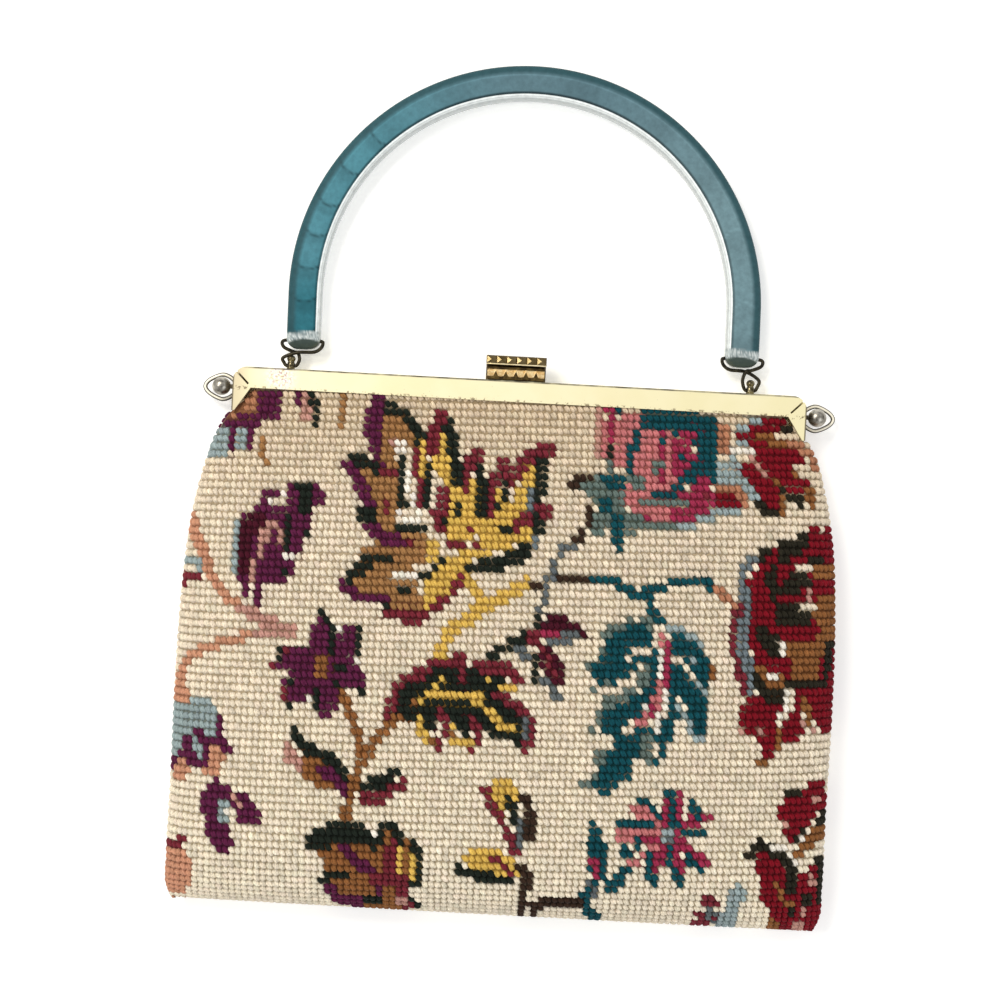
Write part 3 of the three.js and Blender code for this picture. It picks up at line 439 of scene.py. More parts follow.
        stroke("burgundy", 1.2, (34.8, 27.6), (36.2, 28.4), (35.2, 29.8), (35, 31), (35.2, 33.5),
               (36, 34.8), (36.5, 36.6), (37, 38), (37.4, 38.8)),
        stroke("red", 1.6, (47.1, 17.4), (47.3, 19.4), (45.8, 21), (44, 22.2), (42.3, 23), (42, 24)),
        stroke("red", 1.3, (49, 17.6), (49.8, 20.4)),
        stroke("red", 1.7, (40.2, 22.3), (38.8, 23.4), (37.9, 25), (38.8, 26.4), (38.6, 28.4), (40.5, 30),
               (43, 30.9), (46, 31), (48, 30.2), (48.4, 28.8)),
        stroke("red", 1.3, (42.2, 26.8), (45.4, 26.6), (46.4, 25.4)),
        spots("red", (41, 21.2), (41.2, 20.7)),
        patch("ochre", (46.9, 21.9), (50.2, 21.6), (50.4, 23.4), (47, 23.7)),
        patch("red", (47.3, 24), (50.6, 23.7), (50.6, 24.8), (48.8, 25.2), (47.8, 26)),
        patch("ochre", (48, 26), (50.8, 25), (51, 31.6), (49.4, 33), (49, 35), (48.6, 36.6), (45, 36.8),
              (44.2, 36), (43.8, 32), (48.2, 31.8), (49, 30), (47.4, 28.4), (47.2, 26.8)),
        stroke("cream", 1.1, (44.7, 22.6), (46.6, 22.5)),
        stroke("rose", 0.9, (46.9, 25.2), (46.9, 27)),
        stroke("cream", 1.0, (45.5, 27.8), (47.4, 27.8)),
        patch("olive", (38.8, 30.1), (40, 30.4), (41, 31.2), (42.6, 31.8), (42.8, 34.2), (41, 34),
              (39.4, 32.6), (38.9, 31.2)),
        stroke("olive", 1.0, (50.4, 32.4), (50.1, 35), (49.9, 36.8)),
        stroke("red", 1.5, (38.2, 31), (38.3, 32.6), (39.6, 34), (41.2, 34.9), (42.6, 35.6), (44.2, 35.4)),
        spots("white", (42.9, 32.4), (43.1, 33.4)),
        patch("ochre", (39, 35.4), (40, 35.6), (41, 36), (43.6, 36.4), (43.6, 37.6), (42.8, 38.9),
              (41.4, 38.8), (40, 37.8), (39.2, 36.6)),
        stroke("white", 1.0, (41.3, 36.6), (42.5, 36.6)),
        stroke("olive", 1.2, (38.8, 36.6), (39.6, 38), (40.8, 39.4), (43, 39.6), (43.8, 38.2), (44.4, 37.4),
               (49.6, 37.2)),
        patch("red", (37, 41), (38, 40), (39.6, 39.6), (41, 40.3), (42.8, 40.3), (43.8, 40), (43.8, 41.2),
              (42.8, 42), (43, 44), (43, 45.6), (42.4, 47), (41.6, 47.8), (40.4, 47), (40.2, 45.6),
              (39, 45), (37.4, 43.6), (36.9, 42.4)),
        patch("red", (45, 38.6), (46.4, 38.2), (51.2, 37.6), (51.4, 43), (50.4, 44.2), (49.3, 43.2),
              (48.3, 41.6), (47.6, 40.2), (46.4, 39.6), (46.8, 41.4), (46.6, 42.4), (47.2, 43.6),
              (46.4, 44.8), (45.4, 45.6), (44, 45.2), (43.2, 44.2), (43.6, 42.4), (44.6, 41.6),
              (45.2, 40.6)),
        stroke("white", 1.0, (43.9, 38.8), (44.3, 40.8)),
        spots("white", (43.3, 41.9)),
        stroke("ochre", 1.1, (46.5, 39.8), (47.6, 40.8), (47.8, 42.8)),
        stroke("ochre", 0.9, (43.4, 44.2), (43.4, 46)),
        patch("ochre", (39.8, 47.6), (41.4, 47.7), (42, 48.2), (40.8, 49), (39.8, 48.6)),
        spots("rose", (37.6, 44.3), (40.4, 44.2), (47, 42.6), (48.6, 43.2)),
        stroke("rust", 1.3, (32, 25.7), (33.6, 26.7), (35, 27.6)),
    ],
    "teal leaf and its vine": [
        stroke("teal", 1.3, (13.2, 25), (15.8, 25.1), (17, 26.1), (19, 26.8), (21.6, 27.2), (22, 28.6),
               (23, 29.6), (24.3, 30.8)),
        stroke("teal", 1.3, (20.8, 27.2), (22.2, 26.1), (24.2, 25.9), (25, 25.1), (27.5, 24.9),
               (30.8, 24.6), (31.3, 26)),
        patch("teal", (19, 31), (20.6, 30.2), (22.6, 31.2), (23, 33.6), (23.9, 35), (23.9, 39), (23, 41),
              (22, 42.4), (20.4, 44), (22.6, 44.8), (24, 44.6), (25.4, 43), (26, 40), (26.2, 33),
              (24.2, 31.2), (25.2, 31.2), (26.2, 32), (28.2, 32.4), (30.2, 33.2), (30.6, 34.8), (32.2, 35),
              (32.2, 45), (30.4, 45.3), (29.4, 43.6), (28.2, 41), (27.2, 40.4), (27.4, 43.6), (26.8, 45.4),
              (25.6, 46.6), (25.2, 48.8), (24.2, 49), (24.4, 46), (21.8, 45.6), (21.8, 48), (20.8, 49),
              (20.4, 51), (18.6, 52), (17, 53.3), (14, 53.3), (15, 51), (16, 49.4), (17, 48), (17.2, 46),
              (15.2, 45.6), (15.4, 44.6), (16.2, 42), (18.4, 41.2), (20.4, 40.4), (22, 39.4), (22.6, 37),
              (20.4, 36), (20, 38), (17.2, 39.6), (15, 39.6), (13.8, 37.6), (13.5, 36.2), (15.4, 35.4),
              (15.4, 33), (17.6, 31.8)),
        patch("sage", (15, 31.4), (17.6, 30.9), (18.4, 30.2), (20.4, 30), (19, 31.2), (17.4, 31.9),
              (15.6, 33), (14.8, 32.6)),
        stroke("sage", 1.0, (21.4, 30), (22.6, 31.2)),
        stroke("sage", 1.2, (14.8, 34.6), (15.4, 35)),
        patch("sage", (21.6, 36.2), (22.8, 36.4), (22.6, 38.4), (21.8, 39.6), (19.6, 39.8), (20.6, 37.8)),
        stroke("sage", 1.1, (18.2, 40.3), (20.4, 40.2)),
        stroke("cream", 1.0, (15, 40), (17.8, 40)),
        patch("sage", (15.4, 40.8), (18.4, 40.6), (18, 41.6), (16.4, 42.2), (15, 42.6)),
        stroke("sage", 0.9, (15.2, 42.4), (15.2, 44.6)),
        patch("sage", (15, 45.8), (17, 45.6), (16.6, 48.4), (15.8, 50), (14.8, 50), (15, 47.6)),
        spots("cream", (15.5, 46.4), (15.6, 47.4), (16, 46.3)),
        patch("sage", (21.8, 45.4), (23.4, 45.4), (23.8, 47), (24, 49.4), (22.8, 49.2), (22, 48)),
        stroke("sage", 1.0, (13.8, 52), (14.8, 51.6)),
        spots("sage", (13, 37), (15.8, 38.3), (13.6, 39.4), (13.2, 52.4), (14, 45.6)),
        stroke("blue", 1.1, (25.4, 31.4), (28, 31.8), (29.8, 32.9)),
        patch("blue", (27, 40.6), (27.9, 40.6), (28.4, 42), (29.4, 43.4), (30.6, 45), (32, 45.4),
              (31.4, 46), (29.8, 45.8), (28.8, 44.6), (27.4, 43.4)),
        patch("cream", (27.2, 43.2), (28.6, 43.4), (29.2, 45), (27.2, 45.2)),
        stroke("cream", 1.0, (23.9, 31), (24, 32.6)),
        patch("pink", (24, 31.8), (25, 32), (25, 34.4), (24, 34.6)),
        stroke("white", 1.0, (24.4, 34.6), (24.4, 38)),
        patch("magenta", (25, 33), (26, 33), (26.1, 39.4), (25.1, 39.6)),
        patch("pink", (23.9, 38), (25, 38), (25, 41), (23.6, 42.4), (23, 41.2), (23.4, 40)),
        stroke("white", 1.0, (25.4, 39.9), (25.4, 41.2)),
        spots("magenta", (23.5, 41.8), (23.6, 42.3)),
        stroke("white", 1.0, (22.2, 42), (22, 42.9)),
        stroke("white", 1.1, (24.4, 42.6), (24.5, 45)),
        stroke("pink", 1.3, (22.4, 43.2), (21, 44)),
        stroke("cream", 1.0, (20, 34.5), (22.2, 34.4)),
        stroke("cream", 1.0, (17.6, 39.2), (19.2, 39)),
        spots("cream", (19.3, 35.8), (20.7, 36.8), (20, 38), (19.3, 45.2), (20.3, 44.4)),
        stroke("cream", 1.0, (26.4, 35.5), (27.7, 35.5)),
        spots("cream", (28.4, 36.7), (29.2, 37.8)),
        spots("blue", (30.5, 38.8), (31.3, 39.7), (29.2, 35.6)),
        stroke("ochre", 0.9, (32.7, 36), (32.8, 38.2)),
    ],
    "pink and teal aster": [
        stroke("magenta", 1.6, (26.6, 58.3), (26, 54.2)),
        stroke("magenta", 1.2, (28.5, 52.9), (28.3, 57)),
        stroke("magenta", 1.6, (32.6, 55.8), (29.2, 56.8), (27, 58)),
        stroke("magenta", 1.4, (33, 62), (30.6, 60.6), (27.6, 58.6)),
        stroke("magenta", 1.6, (29, 63.8), (28, 59.6)),
        stroke("magenta", 1.5, (25.3, 63), (26, 59.4)),
        stroke("pink", 1.3, (21.6, 62.6), (23.4, 61), (25, 59.6)),
        stroke("pink", 1.8, (19.4, 58.6), (24.8, 58.4)),
        stroke("magenta", 1.0, (22, 58.8), (25, 58.9)),
        stroke("pink", 1.7, (21, 55.3), (23.4, 55.8), (25.2, 57)),
        stroke("teal", 1.1, (22.5, 54), (24, 54.9), (25, 55.6)),
        stroke("teal", 1.3, (26.7, 52.9), (27.2, 54)),
        stroke("teal", 1.1, (27.6, 54.6), (27.7, 57)),
        stroke("teal", 1.2, (30.6, 53.8), (30.9, 55.4)),
        stroke("teal", 1.2, (29.8, 58.1), (32.3, 58.1)),
        stroke("teal", 1.1, (19.4, 57.2), (24, 57.1)),
        stroke("teal", 1.1, (20.8, 61.3), (22, 60.2)),
        stroke("teal", 1.2, (23.7, 61), (23.9, 64)),
        stroke("teal", 1.0, (26.8, 62.2), (27, 60.4)),
        stroke("teal", 1.3, (28, 63), (29, 65)),
        stroke("teal", 1.3, (30, 61.5), (32, 62.6)),
        spots("teal", (22.4, 59.2), (24.9, 64.6), (20, 60.8)),
        patch("grey", (25.4, 57.4), (27.7, 57.2), (28, 59.2), (26, 59.5)),
        spots("blue", (26.5, 58.2), (27.3, 57.8), (26, 59)),
    ],
    "leaves at the bottom": [
        patch("yellow", (-1.8, 53.3), (0, 52.3), (1.6, 52.2), (2.6, 53.4), (3.4, 54.8), (1.8, 54.7),
              (1.2, 56), (1.6, 57.3), (0.3, 56.6), (-0.2, 55)),
        patch("burgundy", (-2.7, 53.4), (-1.4, 53.4), (-0.3, 55.2), (0.9, 57), (2.1, 58.5), (3.1, 60),
              (3.9, 62.5), (2.9, 62.5), (1.5, 60), (-0.1, 57.8), (-1.8, 56)),
        stroke("green", 1.5, (1.6, 54.9), (2.6, 56.2), (3.2, 58.2)),
        stroke("brown", 1.4, (4, 54.8), (4.9, 55.6), (5.2, 57.5), (5.1, 59.4)),
        stroke("grey", 1.2, (3.6, 57.5), (4, 59.5), (3.9, 61.2)),
        spots("cream", (1.7, 56.9)),
        patch("yellow", (-4.9, 63.5), (-4, 61.7), (0, 61.5), (2.2, 62.2), (3.5, 63.4), (3.8, 64.8), (1, 65),
              (-3, 64.4)),
        stroke("burgundy", 1.1, (0, 62.7), (1.5, 63.4), (2.5, 64.5)),
        stroke("green", 1.3, (-5.8, 64.2), (-3.5, 65), (0, 65.4), (2.6, 65.6)),
        stroke("brown", 1.3, (4.2, 63.9), (4.7, 66), (5, 68.4), (4.3, 70.4)),
        stroke("brown", 1.0, (5.4, 64.8), (5.2, 66.6)),
        stroke("brown", 1.3, (6.2, 69.5), (7.6, 68.3), (9.5, 67.9), (13, 67.9)),
        patch("teal", (14.8, 57.2), (15.9, 57.8), (16.9, 59.5), (17.5, 62.5), (17.6, 65), (16.3, 65.4),
              (15.4, 65.2), (14.2, 62.5), (14, 60)),
        stroke("magenta", 1.1, (15.3, 62), (15.9, 63.9)),
        stroke("grey", 1.1, (15.3, 65.4), (15.6, 66.6)),
        stroke("teal", 1.5, (14.4, 66.6), (14.8, 68.5), (16.4, 70.2)),
        stroke("teal", 1.6, (18, 65.7), (19, 65), (20.6, 63.4)),
        spots("brown", (13.9, 67.9)),
    ],
    "red flower at the bottom right": [
        patch("red", (49, 50.2), (50.4, 50.2), (51, 52), (51, 53.8), (49.6, 54.6), (48.8, 56), (47.2, 56.4),
              (46.6, 57.4), (46, 58.4), (45.2, 58.6), (45, 57.4), (44.6, 56), (43.8, 55.2), (43.7, 53.8),
              (44.8, 52.8), (46, 52.4), (47.2, 52.6), (47.8, 51.2)),
        stroke("olive", 1.1, (44.9, 51.9), (46.3, 51.8)),
        stroke("olive", 1.1, (50.6, 54.2), (50.2, 55.8)),
        patch("olive", (46.2, 57.8), (47.4, 56.6), (48.4, 56.4), (48.4, 57.4), (47.2, 57.6), (47, 58.6),
              (46.2, 59.2)),
        patch("ochre", (48.6, 56.2), (51, 56), (51.2, 57.4), (50, 58.6), (49, 59.2), (47.8, 60.4),
              (46.8, 60.4), (46.6, 59.4), (47.4, 58.4), (48.4, 57.6)),
        spots("rose", (45, 56.4), (49.5, 53)),
        patch("red", (40.8, 60), (42.4, 60), (43.4, 60.8), (45, 61.4), (45.6, 62.6), (46, 64.8),
              (47.2, 63.6), (48, 62), (51.2, 61.4), (51.4, 70.6), (44.8, 70.6), (44.6, 69), (43.4, 68),
              (42.2, 67), (41.6, 65), (41.4, 63.2), (40.6, 62.6)),
        stroke("olive", 1.4, (39.8, 60.2), (40.8, 59.1), (43, 59.1), (43.6, 60.2), (45.2, 60.7), (46, 61.6),
               (46.6, 62.8), (46.4, 64.6)),
        stroke("olive", 1.1, (50.4, 60.4), (50.8, 62), (50.8, 66)),
        spots("olive", (49, 65.8), (48.6, 66.4), (46.9, 67.6)),
        stroke("white", 1.0, (43.4, 59.3), (44.6, 59.2)),
        spots("white", (45.7, 60.2), (47, 61.4), (47.7, 57.6)),
        stroke("ochre", 1.0, (44.4, 64.2), (44.5, 65.6)),
        stroke("ochre", 1.1, (45.4, 66.7), (46.6, 66.6)),
        patch("ochre", (42.8, 69.6), (43.6, 68.4), (44.6, 68.8), (44.8, 70.4), (42.6, 70.4)),
        patch("rose", (47, 68.6), (48.4, 68.5), (48.6, 69.8), (47, 70)),
        spots("rose", (49.8, 63.2), (48.4, 67.6)),
    ],
    "bud at the bottom": [
        stroke("burgundy", 1.3, (33.3, 66.8), (35, 67.1)),
        stroke("burgundy", 1.3, (32.4, 68.6), (32.9, 69.4), (31, 70.4)),
        stroke("grey", 1.3, (33.6, 68.4), (35.2, 69.4)),
        stroke("burgundy", 1.0, (35, 69), (36, 68.6)),
        stroke("blue", 2.3, (38.2, 65.4), (37.3, 67.5), (36.2, 70.4)),
    ],
    "flowers at the left edge": [
        patch("blue", (-51.4, 44.4), (-48.8, 44.3), (-48, 43.5), (-45.7, 43.6), (-44.6, 44.8),
              (-44.5, 48.4), (-46.4, 48.6), (-46.6, 52), (-47.6, 51.8), (-48.2, 50), (-49.6, 50.4),
              (-50, 51.4), (-51.4, 51.8)),
        patch("salmon", (-51, 52.6), (-50.2, 51.6), (-49.3, 50.6), (-48.4, 51.6), (-48.3, 54), (-48.9, 55),
              (-50.6, 55)),
        patch("salmon", (-45.4, 49.4), (-43, 49.4), (-42.8, 51.6), (-43.5, 53.7), (-46.3, 53.6),
              (-45.9, 50.8)),
        patch("plum", (-44.2, 45.5), (-43.3, 45.5), (-43.2, 48.2), (-42.4, 49.4), (-41.4, 49.8),
              (-41.5, 50.7), (-43.2, 50.4), (-44.4, 49.8)),
        stroke("plum", 1.3, (-47.5, 48.2), (-46, 48.9), (-44.4, 48.9)),
        stroke("plum", 1.2, (-46, 49.2), (-46, 51.8)),
        stroke("plum", 1.3, (-49, 49.1), (-48.8, 50.8), (-47.9, 51.8), (-46.9, 52.6)),
        patch("plum", (-51.4, 51.7), (-50.3, 51), (-49.3, 51), (-49.4, 51.9), (-50.2, 52.2), (-50.3, 53),
              (-51.4, 53)),
        patch("plum", (-44.6, 53.8), (-43.7, 53.8), (-43.6, 54.9), (-41.4, 54.9), (-42, 56.6), (-43.3, 57),
              (-43.3, 60), (-41.6, 60), (-41, 62.4), (-41.1, 64.1), (-43, 64.1), (-44.2, 62.6),
              (-45.2, 61.4), (-45.2, 59.2), (-46.4, 59), (-46.4, 57), (-45.5, 55.6)),
        patch("plum", (-42.2, 55.5), (-39.4, 55.6), (-38.2, 57), (-37.1, 58), (-36.9, 59.7), (-40, 59.7),
              (-41, 58.2), (-42.3, 57.6)),
        stroke("blue", 1.3, (-42.5, 57.2), (-42.6, 59.6)),
        stroke("rose", 0.8, (-41.6, 56.2), (-40.4, 57.3)),
        spots("white", (-41.6, 58.5)),
        patch("salmon", (-51.4, 63.6), (-48, 63.5), (-47.1, 65), (-46.9, 68), (-47.9, 69.3), (-51.4, 69.4)),
        patch("burgundy", (-51.4, 62.7), (-50, 62.6), (-49.9, 61.9), (-48.3, 61.9), (-48.3, 62.7),
              (-48.8, 63.6), (-51.4, 63.6)),
    ],
}

CHART_STITCH_MM = (2.7, 3.2)
SPOT_HALF = 0.52

# Painted shade, darker towards the frame that shades the ground: shares of its red, green and blue at rows
# of the chart
PAINTED_SHADE_ROWS = (3, 18, 45, 63)
PAINTED_SHADE_SHARES = ((0.82, 0.915, 0.965, 1.0), (0.75, 0.885, 0.95, 1.0), (0.68, 0.87, 0.945, 1.0))


def inside(outline, across, down):
    """True for each place that lies inside a closed outline."""
    found = np.zeros(across.shape, bool)
    for (x0, y0), (x1, y1) in zip(outline, outline[1:] + outline[:1]):
        if y0 == y1:
            continue
        crosses = (y0 > down) != (y1 > down)
        found ^= crosses & (across < x0 + (down - y0) * (x1 - x0) / (y1 - y0))
    return found


def near(points, reach, across, down):
    """True for each place within reach of a line through points."""
    found = np.zeros(across.shape, bool)
    for (x0, y0), (x1, y1) in zip(points, points[1:]):
        dx, dy = x1 - x0, y1 - y0
        share = np.clip(((across - x0) * dx + (down - y0) * dy) / (dx * dx + dy * dy), 0, 1)
        found |= np.hypot(across - x0 - share * dx, down - y0 - share * dy) <= reach
    return found


def marked(mark, across, down):
    """True for each place that a mark of the chart covers."""
    kind, _, width, points = mark
    if kind == "patch":
        return inside(points, across, down)
    if kind == "stroke":
        return near(points, width / 2, across, down)
    found = np.zeros(across.shape, bool)
    for x, y in points:
        found |= (np.abs(across - x) <= SPOT_HALF) & (np.abs(down - y) <= SPOT_HALF)
    return found


def chart_colours(across, down):
    """Linear colours of the wool at places of the chart, with painted shade on the ground near the frame,
    and where they are part of a motif.
    """
    names = np.full(across.shape, "cream", object)
    for marks in CHART.values():
        for mark in marks:
            names[marked(mark, across, down)] = mark[1]
    palette = {name: linear(code) for name, code in WOOL.items()}
    colours = np.array([palette[name] for name in names])
    ground = names == "cream"
    # Painted shade: the ground darkens towards the frame
    painted_shade = np.stack([np.interp(down, PAINTED_SHADE_ROWS, shares) for shares in PAINTED_SHADE_SHARES], axis=-1)
    colours[ground] *= painted_shade[ground]
    return colours, ~ground


# Pouch, from the same sections as the solids, in millimetres

COLUMNS = ("drop", "half", "front", "back", "seam", "square", "flat")
SECTIONS = [
    (2.8, 110.0, 14.9, 1.3, 8.1, 12, 0.96),
    (9.6, 111.6, 14.9, 1.3, 8.1, 10, 0.96),
    (13.6, 116.2, 15.9, 0.8, 8.1, 8, 0.95),
    (18.5, 121.4, 17.4, 0.2, 8.2, 5.6, 0.94),
    (25, 125.4, 19.8, 0, 8.5, 4.4, 0.92),
    (38, 129.6, 24.2, 0, 9, 3.6, 0.9),
    (60, 134.2, 29.8, 0, 9.5, 3.1, 0.88),
    (90, 136.8, 34.2, 0, 10, 2.8, 0.87),
    (130, 137.7, 36.6, 0, 10, 2.7, 0.87),
    (175, 137.4, 35.4, 0, 9.5, 2.8, 0.87),
    (206, 137.6, 32.2, 0, 9, 3, 0.88),
    (219, 137.2, 30.6, 0, 8.6, 3.1, 0.89),
    (224, 135.2, 30, 0, 8.5, 3.2, 0.89),
]
MOUTH_DROP_MM = 2.8
BAG_DROP_MM = 224.0
FRONT_TURN_MM = 30.0
BACK_TURN_MM = 13.0
SEAM_GAP_MM = 0.3
WALL_MM = 2.5
section_table = dict(zip(COLUMNS, np.array(SECTIONS).T))

# Steps over which a wall's slopes are measured, and the room that they and the meshes leave at its ends
SLOPE_ACROSS = 2e-4
SLOPE_DROP_MM = 0.05
SLOPE_ROOM_MM = 0.02
SLOPE_FOLD_MM = 0.001
FOLD_ROOM_MM = 0.01


def section(column, drop):
    """A section's value at a drop, on a smooth curve through the table."""
    drops, values = section_table["drop"], section_table[column]
    slopes = np.gradient(values, drops)
    i = np.clip(np.searchsorted(drops, drop, side="right") - 1, 0, len(drops) - 2)
    span = drops[i + 1] - drops[i]
    t = (drop - drops[i]) / span
    start = (1 + 2 * t) * (1 - t) ** 2 * values[i] + t * (1 - t) ** 2 * span * slopes[i]
    end = t * t * (3 - 2 * t) * values[i + 1] + t * t * (t - 1) * span * slopes[i + 1]
    return start + end


def turn_in(drop, length):
    """Share of a wall's height that is left where it turns in to the bottom fold."""
    along = np.clip((drop - (BAG_DROP_MM - length)) / length, 0, 1)
    return np.sqrt(1 - along**2)


def front_height(across, drop):
    seam = section("seam", drop) + SEAM_GAP_MM / 2
    square = section("square", drop)
    dome = np.clip(1 - np.abs(across) ** square, 0, 1) ** (1 / square)
    return seam + (section("front", drop) - seam) * dome * turn_in(drop, FRONT_TURN_MM)


def back_height(across, drop):
    seam = section("seam", drop) - SEAM_GAP_MM / 2
    flat = section("flat", drop)
    along = np.clip((np.abs(across) - flat) / (1 - flat), 0, 1)
    dish = np.sqrt(1 - along**2)
    return seam - (seam - section("back", drop)) * dish * turn_in(drop, BACK_TURN_MM)


def wall_points(height, across, drop):
    """Points of a wall, in metres: across runs from -1 to 1 between the side seams."""
    x = across * section("half", drop)
    return np.stack([x * MM, FRAME_TOP - drop * MM, height(across, drop) * MM], axis=-1)


def unit(vectors):
    return vectors / np.maximum(np.linalg.norm(vectors, axis=-1, keepdims=True), 1e-12)


def wall_axes(height, across, drop):
    """For points of a wall, the directions along its rows, up the bag, and out of the cloth."""
    low = np.clip(across - SLOPE_ACROSS, -1, 1)
    high = np.clip(across + SLOPE_ACROSS, -1, 1)
    along = unit(wall_points(height, high, drop) - wall_points(height, low, drop))
    above = np.clip(drop - SLOPE_DROP_MM, MOUTH_DROP_MM, BAG_DROP_MM - SLOPE_ROOM_MM)
    below = np.clip(drop + SLOPE_DROP_MM, MOUTH_DROP_MM + SLOPE_ROOM_MM, BAG_DROP_MM - SLOPE_FOLD_MM)
    up = wall_points(height, across, above) - wall_points(height, across, below)
    out = unit(np.cross(along, up))
    return along, unit(np.cross(out, along)), out


def side_to_side(count):
    """Places across a wall from seam to seam, close together near the seams."""
    return np.sin(np.linspace(-math.pi / 2, math.pi / 2, count))


def mouth_to_fold(count):
    """Drops down a wall from the mouth to the bottom fold, close together near the fold."""
    share = np.sin(np.linspace(0, math.pi / 2, count))
    return MOUTH_DROP_MM + (BAG_DROP_MM - FOLD_ROOM_MM - MOUTH_DROP_MM) * share


def run_along(points):
    """Distances of points along their line from its start, in millimetres."""
    return np.concatenate([[0], np.cumsum(np.linalg.norm(np.diff(points, axis=0), axis=1))]) / MM


def chart_places(points):
    """Where points of the front fall on the chart, seen from straight above the middle of the view."""
    spread = VIEW_HEIGHT / (VIEW_HEIGHT + VIEW_LEVEL - points[:, 2])
    seen = np.array(VIEW_MIDDLE) + (points[:, :2] - VIEW_MIDDLE) * spread[:, None]
    across = seen[:, 0] / MM / CHART_STITCH_MM[0]
    down = (FRAME_TOP - seen[:, 1]) / MM / CHART_STITCH_MM[1]
    return across, down


# Meshes


UPWARD = (0.0, 0.0, 1.0)


def circle_angles(sides):
    return np.linspace(0, 2 * math.pi, sides, endpoint=False)


def quarter_turn(axis):
    return Matrix.Rotation(math.pi / 2, 4, axis)


def new_object(name, vertices, faces, smooth=True):
    mesh = bpy.data.meshes.new(name)
    mesh.from_pydata([tuple(v) for v in vertices], [], [tuple(f) for f in faces])
    mesh.update()
    mesh.polygons.foreach_set("use_smooth", [smooth] * len(mesh.polygons))
    obj = bpy.data.objects.new(name, mesh)
    bpy.context.scene.collection.objects.link(obj)
    return obj


def set_colours(obj, name, colours):
    layer = obj.data.color_attributes.new(name=name, type="FLOAT_COLOR", domain="POINT")
    full = np.concatenate([colours, np.ones((len(colours), 1))], axis=1)
    layer.data.foreach_set("color", full.astype(np.float32).ravel())


def set_map(obj, name, places):
    """A UV map from one place for each vertex."""
    layer = obj.data.uv_layers.new(name=name)
    corners = np.empty(len(obj.data.loops), np.int32)
    obj.data.loops.foreach_get("vertex_index", corners)
    layer.uv.foreach_set("vector", places[corners].astype(np.float32).ravel())


def set_material(obj, material):
    obj.data.materials.clear()
    obj.data.materials.append(material)


# Materials


def set_inputs(node, values):
    for socket, value in values.items():
        node.inputs[socket].default_value = value


def new_material(name, colour, roughness, metallic=0.0):
    material = bpy.data.materials.new(name)
    material.use_nodes = True
    shader = material.node_tree.nodes["Principled BSDF"]
    set_inputs(shader, {"Base Color": rgba(colour), "Roughness": roughness, "Metallic": metallic})
    return material, material.node_tree, shader


def add(tree, kind, **settings):
    node = tree.nodes.new("ShaderNode" + kind)
    for key, value in settings.items():
        setattr(node, key, value)
    return node


def feed(tree, source, node, socket):
    tree.links.new(source, node.inputs[socket])


def object_place(tree):
    return add(tree, "TexCoord").outputs["Object"]


def painted(tree, layer):
    return add(tree, "VertexColor", layer_name=layer).outputs["Color"]


def noise(tree, scale, detail=3.0, roughness=0.55):
    node = add(tree, "TexNoise")
    set_inputs(node, {"Scale": scale, "Detail": detail, "Roughness": roughness})
    feed(tree, object_place(tree), node, "Vector")
    return node.outputs["Fac"]


def ramp(tree, source, *stops):
    node = add(tree, "ValToRGB")
    elements = node.color_ramp.elements
    while len(elements) < len(stops):
        elements.new(0.5)
    for element, (place, colour) in zip(elements, stops):
        element.position = place
        element.color = colour if len(colour) == 4 else rgba(colour)
    feed(tree, source, node, "Fac")
    return node.outputs["Color"]


def grey_ramp(tree, source, *stops):
    return ramp(tree, source, *[(place, (v, v, v, 1.0)) for place, v in stops])


def blend_colours(tree, kind, share, first, second):
    node = add(tree, "Mix", data_type="RGBA", blend_type=kind)
    for socket, value in ((0, share), (6, first), (7, second)):
        if hasattr(value, "is_linked"):
            tree.links.new(value, node.inputs[socket])
        else:
            node.inputs[socket].default_value = value
    return node.outputs[2]


def shade(tree, colour, shades):
    """A colour times a pattern of greys."""
    return blend_colours(tree, "MULTIPLY", 1.0, colour, shades)


def stain(tree, colour, share, code):
    """A colour covered by another one to a share."""
    return blend_colours(tree, "MIX", share, colour, rgba(code))


def bump(tree, shader, height, strength, distance):
    node = add(tree, "Bump")
    set_inputs(node, {"Strength": strength, "Distance": distance})
    feed(tree, height, node, "Height")
    feed(tree, node.outputs["Normal"], shader, "Normal")


def wool_material():
    """Twisted wool: two plies wind along each stitch, with loose fibres, and painted shade in the grooves
    between the plies.
    """
    material, tree, shader = new_material("wool", WOOL["cream"], roughness=0.92)
    set_inputs(shader, {"Specular IOR Level": 0.12, "Sheen Weight": 0.05, "Sheen Roughness": 0.4})
    twist = add(tree, "TexWave", wave_type="BANDS", bands_direction="DIAGONAL")
    set_inputs(twist, {"Scale": 0.9, "Distortion": 1.2})
    feed(tree, add(tree, "UVMap", uv_map="Yarn").outputs["UV"], twist, "Vector")
    # Painted shade: darker in the twist's grooves, a little lighter on its ridges
    groove_shade = grey_ramp(tree, twist.outputs["Fac"], (0.0, 0.74), (0.4, 1.0), (1.0, 1.06))
    fibres = grey_ramp(tree, noise(tree, scale=2200), (0.32, 0.74), (0.68, 1.2))
    colour = shade(tree, shade(tree, painted(tree, "wool"), groove_shade), fibres)
    feed(tree, colour, shader, "Base Color")
    bump(tree, shader, twist.outputs["Fac"], strength=0.3, distance=0.2 * MM)
    return material


def canvas_material():
    """The canvas and wool backs in the gaps between stitches."""
    material, tree, shader = new_material("canvas", WOOL["cream"], roughness=0.95)
    set_inputs(shader, {"Specular IOR Level": 0.15})
    threads = grey_ramp(tree, noise(tree, scale=900, detail=2), (0.3, 0.55), (0.7, 1.0))
    feed(tree, shade(tree, painted(tree, "wool"), threads), shader, "Base Color")
    return material


# Wool stitches

